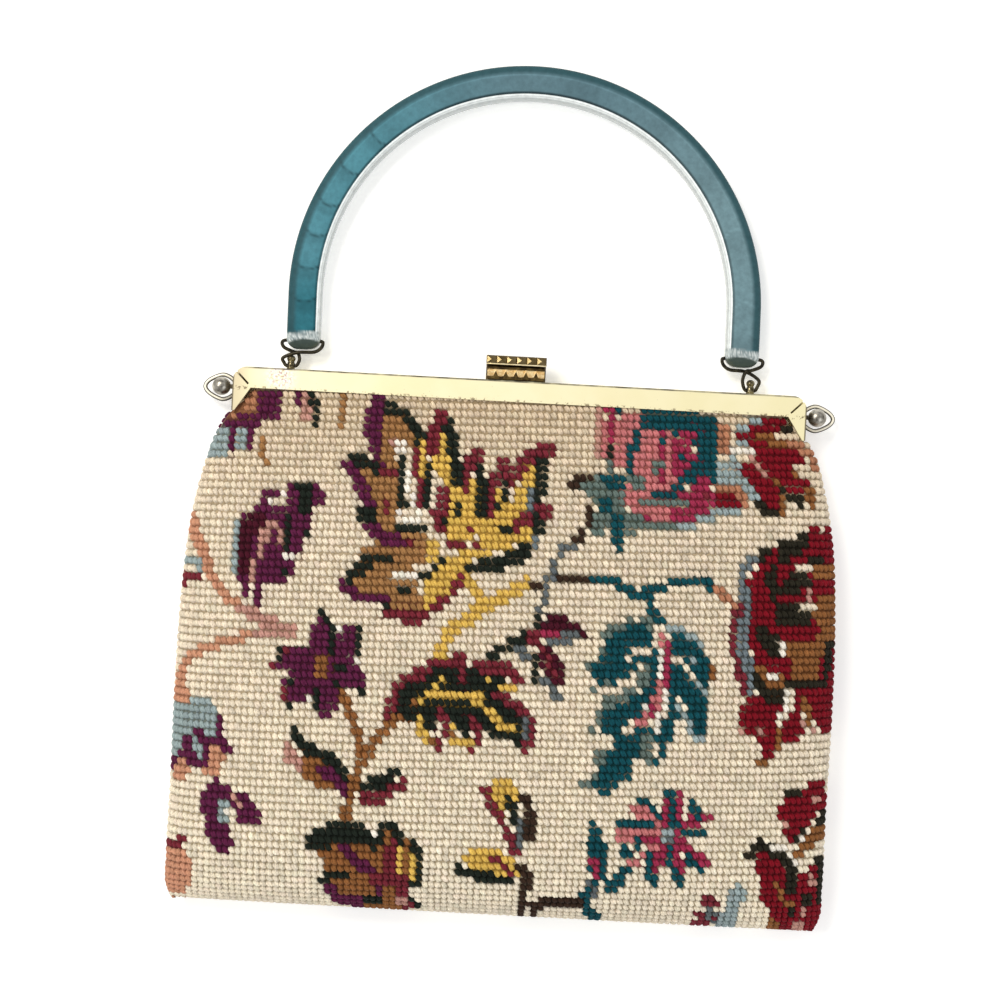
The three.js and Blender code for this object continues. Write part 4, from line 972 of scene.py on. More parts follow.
STITCH_MM = (2.68, 3.2)
ROW_SKEW = 0.03
STRAND_SLANT = math.radians(-56)
STRAND_LONG_MM = 1.8
STRAND_WIDE_MM = 0.86
STRAND_OFFSET_MM = (0.36, 0.16)
FRONT_RISE_MM = (-0.85, 0.62)
BACK_RISE_MM = (-1.25, -0.03)
CANVAS_DEEP_MM = 0.675
STRAND_SIDES = 8
STRAND_SQUARE = 2.5
RING_TABLE = ((0.0, 1.0), (0.68, 0.76), (1.0, 0.0))
# Painted shade on each strand, as shares of its colour for its crown, middle ring and rim
RING_PAINTED_SHADE = (1.03, 0.98, 0.6)
# Painted shade in the gaps between stitches: the canvas takes the wool's colour times these shares
GAP_SHADE = np.array((0.58, 0.54, 0.46))
BAKE_CELL_HALF = 0.44

# How far strands stray in turn, size, place and shade, and stitches in shade and tint
STRAY_TURN = math.radians(7)
STRAY_SIZE = 0.08
STRAY_SIZE_ENDS = (0.82, 1.16)
STRAY_PLACE = 0.09 * MM
STRAY_PLACE_MOST = 0.2 * MM
STRAY_SHADE = 0.05
STITCH_SHADE = 0.055
STITCH_TINT = 0.008

# Points and rows tried for stitches, and the room left at seams, mouth and fold, in stitches
DROPS_TRIED = 4000
PLACES_TRIED = 2401
ROWS_ABOVE = 4.5
ROWS_BELOW = 5
SEAM_ROOM = 0.45
MOUTH_ROOM = 0.3
FOLD_ROOM = 0.35
MEASURED_ACROSS = 0.35

CLOTH_COLUMNS = 112
CLOTH_ROWS = 84
AREA_POINTS = 201
AREA_FOLD_MM = 0.05


def strand_rings():
    """A plump strand of wool as rings of (along, across, height), from its crown to its rim."""
    points = [(0.0, 0.0, 1.0)]
    circle = circle_angles(STRAND_SIDES)
    round_rim = (np.cos(circle).round(9), np.sin(circle).round(9))
    boxy = [np.sign(v) * np.abs(v) ** (2 / STRAND_SQUARE) for v in round_rim]
    for radius, height in RING_TABLE[1:]:
        points += [(radius * a, radius * b, height) for a, b in zip(*boxy)]
    faces = [(0, 1 + k, 1 + (k + 1) % STRAND_SIDES) for k in range(STRAND_SIDES)]
    for ring in range(len(RING_TABLE) - 2):
        for k in range(STRAND_SIDES):
            a = 1 + ring * STRAND_SIDES + k
            b = 1 + ring * STRAND_SIDES + (k + 1) % STRAND_SIDES
            faces.append((a, a + STRAND_SIDES, b + STRAND_SIDES, b))
    return np.array(points), faces


def strand_field(name, places, axes, colours, half_long, half_wide, rise, slant, material):
    """One mesh of many strands, with a cell of the baked map for each."""
    template, template_faces = strand_rings()
    count, size = len(places), len(template)
    turn = slant + rng.normal(0, STRAY_TURN, count)
    grow = rng.normal(1, STRAY_SIZE, (count, 3)).clip(*STRAY_SIZE_ENDS)
    shift = rng.normal(0, STRAY_PLACE, (count, 2)).clip(-STRAY_PLACE_MOST, STRAY_PLACE_MOST)
    a = template[None, :, 0] * half_long * grow[:, :1] * MM
    b = template[None, :, 1] * half_wide * grow[:, 1:2] * MM
    low, high = rise
    h = (low + template[None, :, 2] * (high - low) * np.minimum(1.0, grow[:, 2:])) * MM
    x = a * np.cos(turn)[:, None] - b * np.sin(turn)[:, None] + shift[:, :1]
    y = a * np.sin(turn)[:, None] + b * np.cos(turn)[:, None] + shift[:, 1:]
    points = places[:, None]
    for axis, distance in zip(axes, (x, y, h)):
        points = points + axis[:, None] * distance[..., None]
    starts = np.arange(count) * size
    faces = [tuple(start + k for k in face) for start in starts for face in template_faces]
    obj = new_object(name, points.reshape(-1, 3), faces)
    # Painted shade: each ring of a strand darker towards its rim
    shades = np.repeat(RING_PAINTED_SHADE, [1] + [STRAND_SIDES] * (len(RING_PAINTED_SHADE) - 1))
    tints = colours * rng.normal(1, STRAY_SHADE, (count, 1))
    set_colours(obj, "wool", (tints[:, None] * shades[None, :, None]).reshape(-1, 3).clip(0, 1))
    cells = math.ceil(math.sqrt(count))
    corner = np.stack([np.arange(count) % cells, np.arange(count) // cells], axis=1)
    local = 0.5 + BAKE_CELL_HALF * template[:, :2]
    set_map(obj, "OFBake", ((corner[:, None] + local[None]) / cells).reshape(-1, 2))
    set_map(obj, "Yarn", np.tile(template[:, :2], (count, 1)))
    set_material(obj, material)
    return obj


def in_pairs(places, axes, colours, facing=1):
    """Two strands for each stitch, side by side."""
    count = len(places)
    shades = colours * rng.normal(1, STITCH_SHADE, (count, 1)) * rng.normal(1, STITCH_TINT, (count, 3))
    step = (axes[0] * STRAND_OFFSET_MM[0] + axes[1] * STRAND_OFFSET_MM[1] * facing) * MM
    both = np.stack([places - step, places + step], axis=1).reshape(-1, 3)
    return both, tuple(np.repeat(axis, 2, axis=0) for axis in axes), np.repeat(shades, 2, axis=0)


def measured_drops(height, turn):
    """Drops down a wall with their distances: straight down, and along the cloth where it turns in."""
    drops = mouth_to_fold(DROPS_TRIED)
    points = wall_points(height, np.full(drops.shape, MEASURED_ACROSS), drops)
    steps = np.linalg.norm(np.diff(points, axis=0), axis=1) / MM
    steps = np.where(drops[1:] > BAG_DROP_MM - turn, steps, np.diff(drops))
    return drops, np.concatenate([[0], np.cumsum(steps)])


def stitch_grid(height, turn):
    """Across and drop of each stitch of a wall. Its rows rise to the right, as the canvas is cut askew."""
    wide, tall = STITCH_MM
    drops, distances = measured_drops(height, turn)
    samples = side_to_side(PLACES_TRIED)
    last = distances[-1] / tall
    across, drop = [], []
    for row in np.arange(-ROWS_ABOVE, last + ROWS_BELOW):
        level = np.interp(row * tall, distances, drops)
        skewed = row * tall - ROW_SKEW * samples * section("half", level)
        row_drop = np.interp(skewed, distances, drops)
        run = run_along(wall_points(height, samples, row_drop))
        run -= run[len(run) // 2]
        reach = run[-1] / wide - SEAM_ROOM
        columns = np.arange(math.ceil(-reach - 0.5), math.floor(reach - 0.5) + 1) + 0.5
        place = np.interp(columns * wide, run, samples)
        depth = np.interp(place, samples, skewed) / tall
        kept = (depth > MOUTH_ROOM) & (depth < last - FOLD_ROOM)
        across.append(place[kept])
        drop.append(np.interp(place, samples, row_drop)[kept])
    return np.concatenate(across), np.concatenate(drop)


# Outline of the frame's face plate; stitches that lie deeper under it than a margin are not worked
PLATE_MM = {"end": 120.0, "arm": 7.6, "height": 8.8, "tip": 1.2, "drop": 18.5}
PLATE_MARGIN_MM = 1.2


def under_plate(points):
    x = np.abs(points[:, 0]) / MM
    drop = (FRAME_TOP - points[:, 1]) / MM
    inner = PLATE_MM["end"] - PLATE_MM["arm"]
    share = ((x - inner) / (PLATE_MM["arm"] - PLATE_MM["tip"])).clip(0, 1)
    edge = PLATE_MM["height"] + share * (PLATE_MM["drop"] - PLATE_MM["height"])
    return (drop < edge - PLATE_MARGIN_MM) & (x < PLATE_MM["end"] - PLATE_MARGIN_MM)


def cloth_shell(name, height, facing):
    """A wall of canvas under the stitches, closed round its rim."""
    columns, rows = CLOTH_COLUMNS, CLOTH_ROWS
    grid = np.meshgrid(side_to_side(columns), mouth_to_fold(rows))
    across, drop = (g.ravel() for g in grid)
    points = wall_points(height, across, drop)
    out = wall_axes(height, across, drop)[2] * facing
    layers = [points - out * CANVAS_DEEP_MM * MM, points - out * WALL_MM * MM]
    count = columns * rows
    faces = []

    def quad(*corners):
        faces.append(corners if facing > 0 else corners[::-1])

    for r in range(rows - 1):
        for k in range(columns - 1):
            a = r * columns + k
            quad(a, a + columns, a + columns + 1, a + 1)
            quad(count + a, count + a + 1, count + a + columns + 1, count + a + columns)
        left, right = r * columns, (r + 1) * columns - 1
        quad(left, count + left, count + left + columns, left + columns)
        quad(right, right + columns, count + right + columns, count + right)
    last = (rows - 1) * columns
    for k in range(columns - 1):
        quad(k, k + 1, count + k + 1, count + k)
        quad(last + k, count + last + k, count + last + k + 1, last + k + 1)
    obj = new_object(name, np.concatenate(layers), faces)
    # Painted shade: the canvas takes the chart's colours, darkened
    gaps = chart_colours(*chart_places(points))[0] * GAP_SHADE
    set_colours(obj, "wool", np.tile(gaps, (2, 1)))
    return obj


SHEET_WIDTH = 0.31


def sheet_area(height):
    """Area of a wall along the cloth, in square metres."""
    drops = np.linspace(MOUTH_DROP_MM, BAG_DROP_MM - AREA_FOLD_MM, AREA_POINTS)
    p = wall_points(height, *np.meshgrid(side_to_side(AREA_POINTS), drops))
    start = p[:-1, :-1]
    return float(np.linalg.norm(np.cross(p[1:, :-1] - start, p[:-1, 1:] - start), axis=-1).sum())


def wall_stitches(height, turn, facing):
    """Places, axes, colours and motif marks of a wall's stitches."""
    across, drop = stitch_grid(height, turn)
    points = wall_points(height, across, drop)
    shown = ~under_plate(points)
    across, drop, points = across[shown], drop[shown], points[shown]
    along, up, out = wall_axes(height, across, drop)
    colours, motif = chart_colours(*chart_places(points))
    return points, (along, up, out * facing), colours, motif


def make_wall(name, height, turn, facing, rise, wool, canvas):
    """One wall of the pouch: its canvas, and the stitches of its ground and of its motifs."""
    points, axes, colours, motif = wall_stitches(height, turn, facing)
    lower = points[:, 1] < np.median(points[:, 1])
    size = (STRAND_LONG_MM, STRAND_WIDE_MM, rise)
    slant = STRAND_SLANT * facing
    stitches = []
    for kind, chosen in (("ground_top", ~motif & ~lower), ("ground_low", ~motif & lower), ("motif", motif)):
        some = tuple(axis[chosen] for axis in axes)
        strands = in_pairs(points[chosen], some, colours[chosen], facing)
        stitches.append(strand_field(f"{name}_{kind}_stitches", *strands, *size, slant, wool))
    cloth = cloth_shell(name + "_cloth", height, facing)
    set_material(cloth, canvas)
    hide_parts(name + "_panel")
    return cloth, stitches


# Handle, in the plane of its arch: x and y from the arch's centre, runs from its right end, in millimetres

HANDLE_TURN = math.radians(0.7)
HANDLE_CENTRE = Vector((0, FRAME_TOP + 34 * MM, 5.2 * MM))
ROD_MIDDLE_MM = 92.9
ROD_WIDTH_MM = 14.2
ROD_DEPTH_MM = 10.4
ROD_SQUARE = 4.0
LEG_MM = 23.5
HOLE_DROP_MM = 19.9
HOLE_RADIUS_MM = 1.3
STRIP_EDGE_MM = -5.2
STRIP_GAP_MM = 0.04
ARCH_MM = math.pi * ROD_MIDDLE_MM
ROD_MM = 2 * LEG_MM + ARCH_MM
BODY_SIDES = 40
STRIP_SIDES = 16
FLAT_MM = 1e-6

# Rings of the rod, and how its ends round in and thin out, as shares of its full width and depth
END_RINGS = 12
RINGS_FROM_MM = 5.0
RINGS_SHORT_MM = 4.6
RING_STEP_MM = 1.0
END_ROUND_MM = 4.2
END_THIN_MM = 13
END_WIDE = (0.34, 0.66)
END_DEEP = (0.28, 0.5, 0.22)
END_DEEP_POWER = 1.6


def on_handle(x, y, z):
    """Points of the model from x and y in the arch's plane and z out of it."""
    cos, sin = math.cos(HANDLE_TURN), math.sin(HANDLE_TURN)
    turned = np.stack([x * cos - y * sin, x * sin + y * cos, z], axis=-1)
    return turned * MM + np.array(HANDLE_CENTRE)


def rod_runs():
    """Places of the rod's rings, close together at its rounded ends."""
    end = END_ROUND_MM * (1 - np.cos(np.linspace(0, math.pi / 2, END_RINGS)))
    middle = np.arange(RINGS_FROM_MM, ROD_MM - RINGS_SHORT_MM, RING_STEP_MM)
    return np.concatenate([end, middle, (ROD_MM - end)[::-1]])


def rod_ring(run, section_points):
    """One ring of the rod from points (out, up) of its full section."""
    up_end = min(run, ROD_MM - run)
    round_in = math.sqrt(max(0.0, 1 - max(0.0, 1 - up_end / END_ROUND_MM) ** 2))
    wide = END_WIDE[0] + END_WIDE[1] * round_in
    deep = END_DEEP[0] + END_DEEP[1] * round_in**END_DEEP_POWER
    deep += END_DEEP[2] * smooth_step(0, END_THIN_MM, up_end)
    out, up = section_points[:, 0] * wide, section_points[:, 1] * deep
    if run < LEG_MM:
        x, y, angle = ROD_MIDDLE_MM, run - LEG_MM, 0.0
    elif run > LEG_MM + ARCH_MM:
        x, y, angle = -ROD_MIDDLE_MM, ROD_MM - run - LEG_MM, math.pi
    else:
        angle = (run - LEG_MM) / ROD_MIDDLE_MM
        x, y = ROD_MIDDLE_MM * math.cos(angle), ROD_MIDDLE_MM * math.sin(angle)
    return on_handle(x + out * math.cos(angle), y + out * math.sin(angle), up)


def rod_section(low, high, sides):
    """The rod's section between two distances out from its middle line."""
    reach = ROD_WIDTH_MM / 2

    def depth(out):
        return ROD_DEPTH_MM / 2 * (1 - min(1.0, abs(out) / reach) ** ROD_SQUARE) ** (1 / ROD_SQUARE)

    shares = 0.5 - 0.5 * np.cos(np.linspace(0, math.pi, sides))
    outs = low + (high - low) * shares
    top = [(out, depth(out)) for out in outs]
    bottom = [(out, -depth(out)) for out in outs[::-1] if depth(out) > FLAT_MM]
    return np.array(top + bottom)[::-1]


def loft(name, rings, closed=False):
    """A mesh through rings of equal count, capped at its ends or else closed on itself."""
    count, last = len(rings[0]), len(rings) - 1
    faces = []
    for r in range(len(rings) if closed else last):
        here, there = r * count, (r + 1) % len(rings) * count
        for k in range(count):
            after = (k + 1) % count
            faces.append((here + k, here + after, there + after, there + k))
    if not closed:
        faces.append(tuple(range(count))[::-1])
        faces.append(tuple(last * count + k for k in range(count)))
    return new_object(name, np.concatenate(rings), faces)


def toward(colours, other, share):
    """Colours moved to another one, by a share for each."""
    share = np.asarray(share)[..., None]
    return colours * (1 - share) + other * share


def mix(first, second, share):
    return toward(linear(first), linear(second), share)


def smooth_step(low, high, value):
    t = np.clip((value - low) / (high - low), 0, 1)
    return t * t * (3 - 2 * t)


def bell(distance, width):
    return np.exp(-((distance / width) ** 2))


# Colours of the plastic along the rod, of its outer side in painted shade, of its frosted ends, and of its
# clear strip as a painted reflection
LUCITE = {
    "plain": "5E858C",
    "right": "6C8990",
    "top": "56737C",
    "left": "4A808C",
    "left leg": "2B6874",
    "outer": "2A4C52",
    "frost": ("7C898B", "D9DFDD"),
    "tip": "414C48",
    "strip": ("F0F6F5", "B4BABA"),
}

# Where one colour gives way to the next: shares of the rod, and distances from its left end
TO_TOP = (0.15, 0.45)
TO_LEFT = (0.5, 0.75)
LEFT_LEG_MM = (44, 18)

# Fine cross lines by their distances from the left end, pale lines, and smudges as places and lengths
CROSS_LINES_MM = (7.5, 21, 35, 49.5, 63.5, 80, 98)
CROSS_DARK, CROSS_WIDE_MM = 0.5, 0.55
CROSS_HAZE, CROSS_HAZE_MM = 0.2, 2.4
PALE_LINES_MM = (24.5, 56.0)
PALE_LIGHT, PALE_WIDE_MM, PALE_BEND = 0.25, 0.5, 1.5
SMUDGES_MM = ((8, 4), (11, 5), (24, 5), (52, 6), (83, 7), (112, 5), (150, 9), (205, 8), (236, 7))
SMUDGE_DARK = 0.13
BEND_MM, BEND_PER_MM = 1.6, 0.35

# Bands along the rod by their distances out from its middle line
# Painted shade on the rod's rounded outer side
OUTER_SHADE, OUTER_SHADE_MM = 0.92, (2.4, 4.6)
INNER_DARK, INNER_MM = (0.35, 0.4), (-4.0, -4.7)
# Painted highlight along the rod
PAINTED_HIGHLIGHT, PAINTED_HIGHLIGHT_MM, PAINTED_HIGHLIGHT_WIDE_MM = 0.3, 2.6, 0.3

# Frosted ends by their distances from the rod's end, with their slant and curve
FROST_MM, FROST_SLANT = (7.2, 6.6), 0.08
TIP_MM, TIP_CURVE = (4.4, 3.6), 0.03
SPECKLE_POWER = 1.5

# Bands along the clear strip: painted shade greying it towards its rim, a darker band by the body and a
# fine line
STRIP_RIM_SHADE_MM = (-6.3, -6.9)
STRIP_SEAM, STRIP_SEAM_MM = 0.3, (-5.55, -5.25)
STRIP_LINE, STRIP_LINE_MM, STRIP_LINE_WIDE_MM = 0.35, -6.1, 0.2


def rod_colours(run, out):
    """Colours of the pearly plastic: darkened along its outer side by painted shade, deeper blue on its
    left leg, with a painted highlight near the arch's top.
    """
    left = ROD_MM - run
    share = run / ROD_MM
    top = np.sin(math.pi * np.clip(share, 0, 1))
    colour = mix(LUCITE["right"], LUCITE["top"], smooth_step(*TO_TOP, share))
    colour = toward(colour, linear(LUCITE["left"]), smooth_step(*TO_LEFT, share))
    colour = toward(colour, linear(LUCITE["left leg"]), smooth_step(*LEFT_LEG_MM, left))
    bend = BEND_MM * np.cos(out * BEND_PER_MM)
    light = np.ones(run.shape)
    for place in CROSS_LINES_MM:
        past = left + bend - place
        haze = CROSS_HAZE * bell(past + CROSS_HAZE_MM, CROSS_HAZE_MM)
        light *= 1 - CROSS_DARK * bell(past, CROSS_WIDE_MM) - haze
    for place, length in SMUDGES_MM:
        light *= 1 - SMUDGE_DARK * bell(run + bend - place, length)
    for place in PALE_LINES_MM:
        light *= 1 + PALE_LIGHT * bell(run - PALE_BEND * bend - place, PALE_WIDE_MM)
    # Painted shade where the rod's outer side rounds away
    outer = OUTER_SHADE * smooth_step(*OUTER_SHADE_MM, out)
    colour = toward(colour * light[:, None], linear(LUCITE["outer"]), outer)
    inner = smooth_step(*INNER_MM, out) * (INNER_DARK[0] + INNER_DARK[1] * top)
    # Painted highlight along the rod, strongest at the top of the arch
    painted_highlight = PAINTED_HIGHLIGHT * bell(out - PAINTED_HIGHLIGHT_MM, PAINTED_HIGHLIGHT_WIDE_MM) * top**2
    return (colour * ((1 - inner) * (1 + painted_highlight))[:, None]).clip(0, 1)


def end_colours(colours, run, out):
    """A frosted band at each end, and a darker round end past it."""
    end = np.minimum(run, ROD_MM - run) + FROST_SLANT * out
    speckle = mix(*LUCITE["frost"], rng.uniform(0, 1, len(run)) ** SPECKLE_POWER)
    frosted = toward(colours, speckle, smooth_step(*FROST_MM, end))
    return toward(frosted, linear(LUCITE["tip"]), smooth_step(*TIP_MM, end + TIP_CURVE * out**2))


def lucite_material(name, roughness, shine):
    """Plastic with a faint haze over its painted colours."""
    material, tree, shader = new_material(name, LUCITE["plain"], roughness)
    set_inputs(shader, {"Specular IOR Level": shine})
    haze = grey_ramp(tree, noise(tree, scale=420, detail=4, roughness=0.6), (0.3, 0.86), (0.7, 1.12))
    feed(tree, shade(tree, painted(tree, "lucite"), haze), shader, "Base Color")
    return material


def drill(obj):
    """Cut the two wire holes across the rod's ends."""
    for side in SIDE_NAMES:
        hole = on_handle(np.array(side * ROD_MIDDLE_MM), np.array(-HOLE_DROP_MM), np.array(0.0))
        turn = Matrix.Rotation(HANDLE_TURN, 4, "Z") @ quarter_turn("Y")
        bore(obj, Matrix.Translation(hole) @ turn, HOLE_RADIUS_MM * MM, 2 * ROD_WIDTH_MM * MM)


def settle(obj):
    """Keep an object's mesh as its modifiers leave it."""
    depsgraph = bpy.context.evaluated_depsgraph_get()
    mesh = bpy.data.meshes.new_from_object(obj.evaluated_get(depsgraph))
    obj.modifiers.clear()
    obj.data = mesh


def make_rod(name, section_points, colours, material):
    """A rod of one section, coloured by a function of its points' runs and distances out."""
    runs = rod_runs()
    obj = loft(name, [rod_ring(run, section_points) for run in runs])
    run = np.repeat(runs, len(section_points))
    out = np.tile(section_points[:, 0], len(runs))
    set_colours(obj, "lucite", end_colours(colours(run, out), run, out))
    set_material(obj, material)
    drill(obj)
    return obj


def strip_reflection_colours(_, out):
    """Colours of the clear strip, a painted reflection of white surroundings that greys towards its rim,
    with fine lines along it.
    """
    # Painted reflection: pale, with painted shade towards the rim
    colour = mix(*LUCITE["strip"], smooth_step(*STRIP_RIM_SHADE_MM, out))
    seam = STRIP_SEAM * smooth_step(*STRIP_SEAM_MM, out)
    line = STRIP_LINE * bell(out - STRIP_LINE_MM, STRIP_LINE_WIDE_MM)
    return colour * (1 - seam - line)[:, None]


def make_handle():
    half = ROD_WIDTH_MM / 2
    body_section = rod_section(STRIP_EDGE_MM, half, BODY_SIDES)
    pearl = lucite_material("pearl_lucite", roughness=0.5, shine=0.1)
    body = make_rod("handle_body", body_section, rod_colours, pearl)
    strip_section = rod_section(-half, STRIP_EDGE_MM - STRIP_GAP_MM, STRIP_SIDES)
    clear = lucite_material("clear_lucite", roughness=0.2, shine=0.3)
    strip = make_rod("handle_clear_strip", strip_section, strip_reflection_colours, clear)
    return body, strip


# Wire work


def between(p0, p1, p2, p3, t):
    """Points on a smooth curve from p1 to p2, with p0 before them and p3 after."""
    square = (2 * p0 - 5 * p1 + 4 * p2 - p3) * t**2
    cube = (3 * p1 - p0 - 3 * p2 + p3) * t**3
    return 0.5 * (2 * p1 + (p2 - p0) * t + square + cube)


def closed_curve(points, count):
    """A smooth closed curve through points."""
    points = np.array(points)
    full = np.linspace(0, len(points), count, endpoint=False)
    i = np.floor(full).astype(int) % len(points)
    t = (full - np.floor(full))[:, None]
    return between(*(points[(i + k) % len(points)] for k in (-1, 0, 1, 2)), t)


def extended(points):
    """Points with one more at each end, straight on."""
    return np.concatenate([2 * points[:1] - points[1:2], points, 2 * points[-1:] - points[-2:-1]])


def open_curve(points, count):
    """A smooth curve through points from end to end."""
    points = np.array(points)
    padded = extended(points)
    full = np.linspace(0, len(points) - 1, count)
    i = np.minimum(np.floor(full).astype(int), len(points) - 2)
    return between(*(padded[i + k] for k in range(4)), (full - i)[:, None])


def tube(name, path, radius, sides=12, closed=True):
    """A round wire along a path, with its rings turned as little as possible."""
    count = len(path)
    padded = np.concatenate([path[-1:], path, path[:1]]) if closed else extended(path)
    along = unit(padded[2:] - padded[:-2])
    side = unit(np.cross(along[0], UPWARD))
    first = []
    for direction in along:
        side = unit(side - direction * np.dot(side, direction))
        first.append(side)
    first = np.array(first)
    second = np.cross(along, first)
    if closed:
        twist = math.atan2(np.dot(first[-1], second[0]), np.dot(first[-1], first[0]))
        angle = -twist * np.arange(count) / count
        cos, sin = np.cos(angle)[:, None], np.sin(angle)[:, None]
        first, second = first * cos + second * sin, second * cos - first * sin
    turn = circle_angles(sides)
    ring = first[:, None] * np.cos(turn)[None, :, None] + second[:, None] * np.sin(turn)[None, :, None]
    points = path[:, None] + ring * radius
    return loft(name, list(points), closed)


POST_X_MM = 97.5
EYE_UP_MM = 2.1
EYE_HEIGHT_MM = 5.2
EYE_RADIUS_MM = 1.2
EYE_BORE_MM = 8
CROSSING_BELOW_MM = 5.25
WIRE_RADIUS_MM = 0.75
WIRE_POINTS = 240

# How far the wire stands off the rod outside and inside the arch, and off itself where it crosses
WIRE_OUTSIDE_MM = 2.0
WIRE_INSIDE_MM = 1.05
WIRE_APART_MM = 0.2


def wire_route(side):
    """The wire's course: through the rod, out at each side, across under it and through the post's eye."""
    half = ROD_WIDTH_MM / 2
    right, left = half + WIRE_OUTSIDE_MM, half + WIRE_INSIDE_MM
    if side < 0:
        right, left = left, right

    def at_rod(a, b, z=0.0):
        return on_handle(np.array(side * ROD_MIDDLE_MM + a), np.array(-HOLE_DROP_MM + b), np.array(z))

    def at_post(a, b, z=0.0):
        x, height = (side * POST_X_MM + a) * MM, (EYE_HEIGHT_MM + z) * MM
        return np.array([x, FRAME_TOP + (EYE_UP_MM + b) * MM, height])

    under = at_rod(0, -CROSSING_BELOW_MM)
    middle = (under[0] + side * POST_X_MM * MM) / 2
    apart = WIRE_RADIUS_MM + WIRE_APART_MM
    loop = (under[1] - FRAME_TOP) / MM - EYE_UP_MM

    def crossing(z):
        return np.array([middle, under[1], (EYE_HEIGHT_MM + z) * MM])

    return [
        at_rod(-half, 0),
        at_rod(0, 0),
        at_rod(half, 0),
        at_rod(right, -1.0),
        at_rod(right - 0.9, -3.1, 0.3),
        at_rod(4.4, -4.75, 0.7),
        crossing(apart),
        at_post(-3.4, 0.58 * loop, 0.3),
        at_post(-2.95, 0.2 * loop),
        at_post(-1.9, 0),
        at_post(0, 0),
        at_post(1.9, 0),
        at_post(2.95, 0.2 * loop),
        at_post(3.4, 0.58 * loop, -0.3),
        crossing(-apart),
        at_rod(-4.4, -4.75, -0.7),
        at_rod(0.9 - left, -3.1, -0.3),
        at_rod(-left, -1.0),
    ]


def make_wires(material):
    for side, name in SIDE_NAMES.items():
        wire = tube("wire_" + name, closed_curve(wire_route(side), WIRE_POINTS), WIRE_RADIUS_MM * MM)
        set_material(wire, material)
        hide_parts("handle_wire_" + name)
        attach(wire, "wires")


# Metal

# Metals as a colour, the colour where it is worn, roughness, metallic and grain
METALS = {
    "clasp_gold": ("F6DCA6", "DDB06C", 0.32, 0.8, 700),
    "clasp_dark": ("6E5A30", "3A2C18", 0.34, 0.9, 300),
    "clasp_faceted": ("8C7B58", "64522F", 0.17, 1.0, 200),
    "clasp_rim": ("FFF4D2", "F4DFA6", 0.3, 0.5, 300),
    "dark_bronze": ("3F3A2C", "1D1A13", 0.4, 0.8, 400),
    "post_brass": ("958B6C", "3A3324", 0.25, 1.0, 500),
    "worn_pewter": ("B9B4A8", "6A655C", 0.3, 0.95, 300),
}
SMOOTHER, ROUGHER = 0.8, 1.3

# Colours of the gilt plate, of the wear on it, and of painted shade on its top edge and left end
GILT = {
    "plain": "F3E8BE",
    "tints": ("F1E7B9", "F6EDC4"),
    "scuff": "FBF3EC",
    "marks": "B48E7C",
    "top shadow": "3A3424",
    "left end shade": "D6C8A4",
    "rim": "6A5F48",
    "worn": "6B5536",
}

# Height of the face plate, and the scuffs on it beside the left post with their close and far reach
PLATE_FACE_MM = 14.6
FRAME_END_MM = 120.0
SCUFF = (-0.1, FRAME_TOP - 3.4 * MM, PLATE_FACE_MM * MM)
SCUFF_REACH_MM = (3, 9)
MARKS_REACH_MM = (2, 8)

# Bands of painted shade, dark rims and wear, from where they fade out to where they are full, measured from
# the plate's own edges
TOP_SHADOW_MM = (-0.9, -0.4)
TOP_SHADOW_FACE_MM = (-1.6, -0.6)
LEFT_END_SHADE_MM = (12, 0)
RIM_MM = (-0.8, -0.3)
WORN_MM = (1.3, 0.3)
WORN_BELOW_MM = (-1.6, -0.4)


def metal_material(name):
    """Worn metal: a colour that goes dark in patches of a given grain."""
    colour, dark, roughness, metallic, grain = METALS[name]
    material, tree, shader = new_material(name, colour, roughness, metallic)
    wear = ramp(tree, noise(tree, grain, detail=5, roughness=0.65), (0.38, dark), (0.62, colour))
    feed(tree, wear, shader, "Base Color")
    smooth, rough = roughness * SMOOTHER, min(1.0, roughness * ROUGHER)
    feed(tree, specks(tree, grain * 2, 3, (0.3, smooth), (0.7, rough)), shader, "Roughness")
    return material


def smooth_mask(tree, value, low, high):
    """0 where a value is low and 1 where it is high."""
    mask = add(tree, "MapRange", interpolation_type="SMOOTHSTEP")
    set_inputs(mask, {"From Min": low, "From Max": high})
    feed(tree, value, mask, "Value")
    return mask.outputs["Result"]


def band_mask(tree, axis, start, ends_mm):
    """0 at the first and 1 at the second of two distances from a start along an axis of the object."""
    apart = add(tree, "SeparateXYZ")
    feed(tree, object_place(tree), apart, "Vector")
    return smooth_mask(tree, apart.outputs[axis], *(start + end * MM for end in ends_mm))


def spot_mask(tree, centre, reach_mm):
    """1 within the first and 0 beyond the second of two distances from a place of the object."""
    distance = add(tree, "VectorMath", operation="DISTANCE")
    feed(tree, object_place(tree), distance, 0)
    distance.inputs[1].default_value = centre
    close, far = reach_mm
    return smooth_mask(tree, distance.outputs["Value"], far * MM, close * MM)


def times(tree, first, second):
    node = add(tree, "Math", operation="MULTIPLY")
    feed(tree, first, node, 0)
    feed(tree, second, node, 1)
    return node.outputs["Value"]


def specks(tree, scale, detail, *stops):
    return grey_ramp(tree, noise(tree, scale, detail), *stops)


def scuffed(tree, colour):
    """Pale rubbing with brown marks in it."""
    rubbed = specks(tree, 900, 4, (0.36, 0.0), (0.56, 1.0))
    colour = stain(tree, colour, times(tree, spot_mask(tree, SCUFF, SCUFF_REACH_MM), rubbed), GILT["scuff"])
    chipped = specks(tree, 800, 3, (0.52, 0.0), (0.6, 0.8))
    return stain(tree, colour, times(tree, spot_mask(tree, SCUFF, MARKS_REACH_MM), chipped), GILT["marks"])


